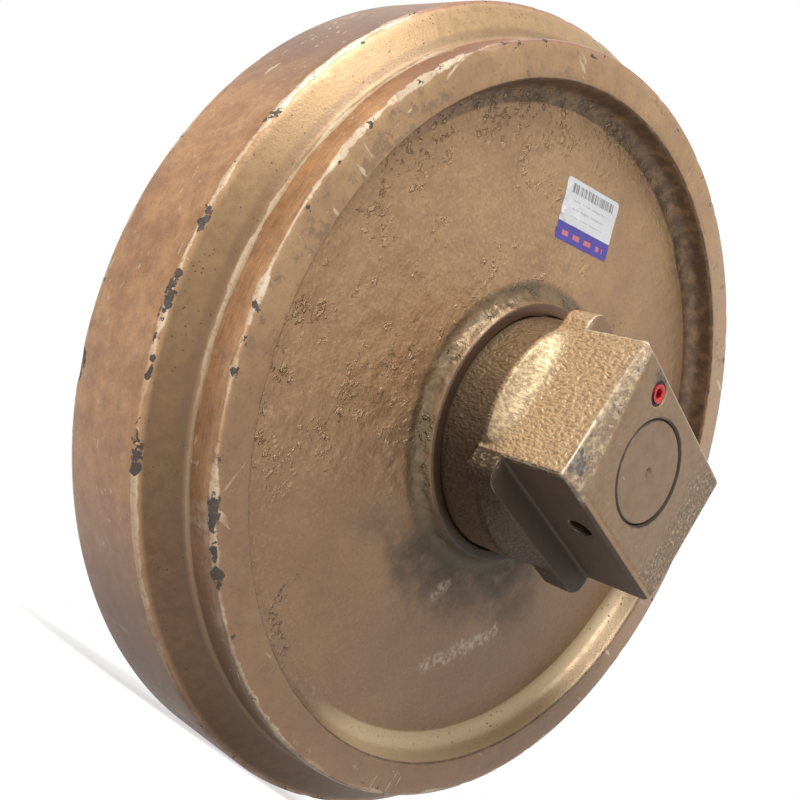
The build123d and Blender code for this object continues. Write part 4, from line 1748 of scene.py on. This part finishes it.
        # Painted shade on the faces that look down and on the block's lowest part.
        under = ease(-normals[:, 2] - 0.3 * normals[:, 0] + 0.10 * broad, 0.15, 0.85)
        below = ease(-z, 0.044, 0.054) * ease(x, -0.0600, -0.0540)
        under = np.maximum(under, below) * ease(out, 0.1165, 0.1140) * outer
        masks = {
            "scuff_ring": ease(from_plug, 0.0125, 0.0105),
            "scuff": ease(from_scuff, 0.0135, 0.0) * end,
            "under": under,
            "edge": edge,
            "painted_shade": painted_shade,
            "cove": cove,
            "ground": ground,
            "cast": cast,
            "bare": bare,
        }
        for name, shares in masks.items():
            store(piece, name, shares)

    def build(self, node: bpy.types.Object, material: bpy.types.Material) -> bpy.types.Object:
        """Build and dress the bracket.

        Args:
            node: The bracket's exact solid.
            material: Its paint.

        Returns:
            The bracket.
        """
        piece = self.copy_casting(node)
        name = f"bracket_casting_{self.side.name.lower()}"
        settle(piece, name)
        self.relief(piece)
        dress(piece, material)
        activate(piece)
        bpy.ops.object.shade_smooth()
        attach(piece, "brackets_and_axle")
        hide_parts(node.name)
        log.info("%s: %d vertices", name, len(piece.data.vertices))
        return piece


@dataclass
class Label:
    """Small gummed label on the web, laid on the casting."""

    corner: Pair = (-0.0930, 0.1450)
    along: Pair = (-0.0370, 0.1745)
    down: Pair = (-0.0730, 0.1085)
    start: float = -0.066
    thickness: float = 0.00012
    lift: float = 0.00020
    corner_radius: float = 0.0030

    def build(self, wheel: bpy.types.Object, finish: PaperLabel) -> bpy.types.Object:
        """Build the label and lay it on the wheel.

        Args:
            wheel: The wheel casting.
            finish: Its print.

        Returns:
            The label.
        """
        corner, along, down = Vector(self.corner), Vector(self.along), Vector(self.down)
        width, height = (along - corner).length, (down - corner).length
        middle = (along + down) / 2
        tilt = math.atan2(along.y - corner.y, along.x - corner.x)
        deselect()
        bpy.ops.mesh.primitive_grid_add(x_subdivisions=48, y_subdivisions=32, size=1.0, calc_uvs=True)
        piece = bpy.context.active_object
        places = rows_of(piece, "co") * np.array([width, height, 0.0])
        reach = np.array([width / 2 - self.corner_radius, height / 2 - self.corner_radius, 0.0])
        beyond = np.maximum(np.abs(places) - reach, 0.0)
        length = np.linalg.norm(beyond[:, :2], axis=1)
        both = (beyond[:, 0] > 0) & (beyond[:, 1] > 0)
        shrink = np.where(both, np.minimum(self.corner_radius / np.maximum(length, 1e-9), 1.0), 1.0)
        inner = np.minimum(np.abs(places), reach)
        places = np.sign(places) * (inner + beyond * shrink[:, None])
        across, up = places[:, 0].copy(), places[:, 1].copy()
        turned = np.zeros_like(places)
        turned[:, 0] = middle.x + across * math.cos(tilt) - up * math.sin(tilt)
        turned[:, 2] = middle.y + across * math.sin(tilt) + up * math.cos(tilt)
        turned[:, 1] = self.start
        move_points(piece, turned)
        settle(piece, "web_label")
        wrap = piece.modifiers.new("lay", "SHRINKWRAP")
        wrap.target = wheel
        wrap.wrap_method = "PROJECT"
        wrap.use_project_x = False
        wrap.use_project_y = True
        wrap.use_project_z = False
        wrap.use_positive_direction = True
        wrap.use_negative_direction = False
        wrap.offset = self.lift
        bpy.ops.object.modifier_apply(modifier=wrap.name)
        solid = piece.modifiers.new("paper", "SOLIDIFY")
        solid.thickness = self.thickness
        bpy.ops.object.modifier_apply(modifier=solid.name)
        bpy.ops.object.mode_set(mode="EDIT")
        bpy.ops.mesh.select_all(action="SELECT")
        bpy.ops.mesh.normals_make_consistent(inside=False)
        bpy.ops.object.mode_set(mode="OBJECT")
        bpy.ops.object.shade_smooth_by_angle(angle=math.radians(35))
        dress(piece, finish.make())
        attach(piece, "wheel")
        log.info("label: %.0f x %.0f mm", width * 1000, height * 1000)
        return piece


@dataclass
class SmallParts:
    """The parts whose exact solids already have the right shape, and only need their finish."""

    axle: AxleFinish = field(default_factory=AxleFinish)
    plug: RedLacquer = field(default_factory=RedLacquer)
    rubber: BlackRubber = field(default_factory=BlackRubber)
    bronze: MachinedMetal = MachinedMetal("bush_bronze", srgb(196, 160, 96), srgb(160, 122, 70))
    iron: MachinedMetal = MachinedMetal("seal_iron", srgb(150, 150, 154), srgb(112, 112, 116), 0.22)
    # The lock pin's dark colours are painted shade, for its end deep in its hole.
    steel: MachinedMetal = MachinedMetal("pin_steel", srgb(62, 52, 43), srgb(34, 28, 23), 0.34, 0.6)

    def build(self, nodes: dict[str, bpy.types.Object]) -> None:
        """Give each carried-over node its finish.

        Args:
            nodes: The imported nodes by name.
        """
        finishes = {
            "axle_shaft": self.axle.make(),
            "axle_o_ring": self.rubber.make(),
            "bush": self.bronze.make(),
            "lock_pin": self.steel.make(),
            "oil_plug": self.plug.make(),
            "seal_ring": self.iron.make(),
        }
        finishes["oil_plug_o_ring"] = finishes["seal_toric"] = finishes["axle_o_ring"]
        for name, node in nodes.items():
            matching = [start for start in finishes if name.startswith(start)]
            if matching:
                kind = max(matching, key=len)
                for slot in node.material_slots:
                    slot.material = finishes[kind]
                log.info("%s dressed as %s", name, kind)


@dataclass
class Studio:
    """White floor and surroundings, soft light and the camera."""

    floor_height: float = -0.270
    lens: float = 47.848
    place: Point = (-0.5083, -0.4895, -0.2491)
    right: Point = (0.4648, -0.6911, 0.5535)
    down: Point = (0.6003, -0.2136, -0.7708)
    ahead: Point = (0.6509, 0.6905, 0.3155)
    floor_grey: Colour = (0.22, 0.22, 0.22)
    floor_white: Colour = (0.85, 0.85, 0.85)
    seeing: tuple[str, str, str] = ("Is Camera Ray", "Is Glossy Ray", "Is Transmission Ray")

    def camera(self) -> None:
        """Set the camera low beside the wheel, rolled, looking up along it."""
        data = bpy.data.cameras.new("camera")
        data.sensor_width = 36.0
        data.lens = self.lens
        data.clip_start = 0.01
        holder = bpy.data.objects.new("camera", data)
        bpy.context.scene.collection.objects.link(holder)
        turn = Matrix((Vector(self.right), -Vector(self.down), -Vector(self.ahead))).transposed().to_4x4()
        holder.matrix_world = Matrix.Translation(self.place) @ turn
        bpy.context.scene.camera = holder

    def floor(self) -> None:
        """Lay the white floor under the flange."""
        deselect()
        bpy.ops.mesh.primitive_plane_add(size=8.0, location=(0.0, 0.0, self.floor_height))
        plane = bpy.context.active_object
        settle(plane, "studio_floor")
        graph = Graph("floor_white")
        path = graph.add("ShaderNodeLightPath")
        seen = graph.over(*(path.outputs[name] for name in self.seeing))
        matt = graph.add("ShaderNodeBsdfDiffuse")
        graph.feed(matt.inputs["Color"], graph.mix(seen, self.floor_grey, self.floor_white))
        glow = graph.add("ShaderNodeEmission")
        graph.feed(glow.inputs["Strength"], graph.times(seen, 0.62))
        both = graph.add("ShaderNodeAddShader")
        graph.tree.links.new(matt.outputs[0], both.inputs[0])
        graph.tree.links.new(glow.outputs[0], both.inputs[1])
        out = graph.add("ShaderNodeOutputMaterial")
        graph.tree.links.new(both.outputs[0], out.inputs["Surface"])
        dress(plane, graph.material)

    def lamp(self, name: str, toward: Point, away: float, power: float, size: float) -> None:
        """Hang a square soft lamp.

        Args:
            name: The lamp's name.
            toward: Direction from the object to the lamp.
            away: Distance from the object in metres.
            power: Power in watts.
            size: Side of the lamp in metres.
        """
        data = bpy.data.lights.new(name, "AREA")
        data.energy = power
        data.size = size
        holder = bpy.data.objects.new(name, data)
        direction = Vector(toward).normalized()
        holder.location = direction * away
        holder.rotation_euler = direction.to_track_quat("Z", "Y").to_euler()
        bpy.context.scene.collection.objects.link(holder)

    def surroundings(self) -> None:
        """Light everything softly from all round, with plain white behind the object."""
        world = bpy.data.worlds.new("studio")
        world.use_nodes = True
        tree = world.node_tree
        tree.nodes.clear()
        path = tree.nodes.new("ShaderNodeLightPath")
        strength = tree.nodes.new("ShaderNodeMapRange")
        seen = path.outputs[self.seeing[0]]
        for name in self.seeing[1:]:
            larger = tree.nodes.new("ShaderNodeMath")
            larger.operation = "MAXIMUM"
            tree.links.new(seen, larger.inputs[0])
            tree.links.new(path.outputs[name], larger.inputs[1])
            seen = larger.outputs[0]
        tree.links.new(seen, strength.inputs["Value"])
        strength.inputs["To Min"].default_value = 0.40
        strength.inputs["To Max"].default_value = 1.0
        background = tree.nodes.new("ShaderNodeBackground")
        background.inputs["Color"].default_value = (1.0, 1.0, 1.0, 1.0)
        tree.links.new(strength.outputs["Result"], background.inputs["Strength"])
        out = tree.nodes.new("ShaderNodeOutputWorld")
        tree.links.new(background.outputs[0], out.inputs["Surface"])
        bpy.context.scene.world = world

    def build(self) -> None:
        """Put up the whole studio."""
        self.camera()
        self.floor()
        self.surroundings()
        self.lamp("key", (-0.66, -0.38, 0.66), 1.9, 32.0, 0.9)
        self.lamp("fill", (-0.30, -1.0, 0.15), 2.5, 10.0, 1.8)
        bpy.context.scene.view_settings.view_transform = "Standard"
        log.info("studio: camera, floor, surroundings and lamps")


def main() -> None:
    """Build the studio and the idler, piece by piece."""
    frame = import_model()
    Studio().build()
    nodes = frame["nodes"]
    wheel = Wheel().build(WheelFinish())
    bracket_paint = BracketFinish().make()
    for side in Side:
        Bracket(side).build(nodes[f"bracket_{side.name.lower()}"], bracket_paint)
    Label().build(wheel, PaperLabel())
    SmallParts().build(nodes)


if __name__ == "__main__":
    logging.basicConfig(level=logging.INFO, format="%(name)s: %(message)s")
    main()
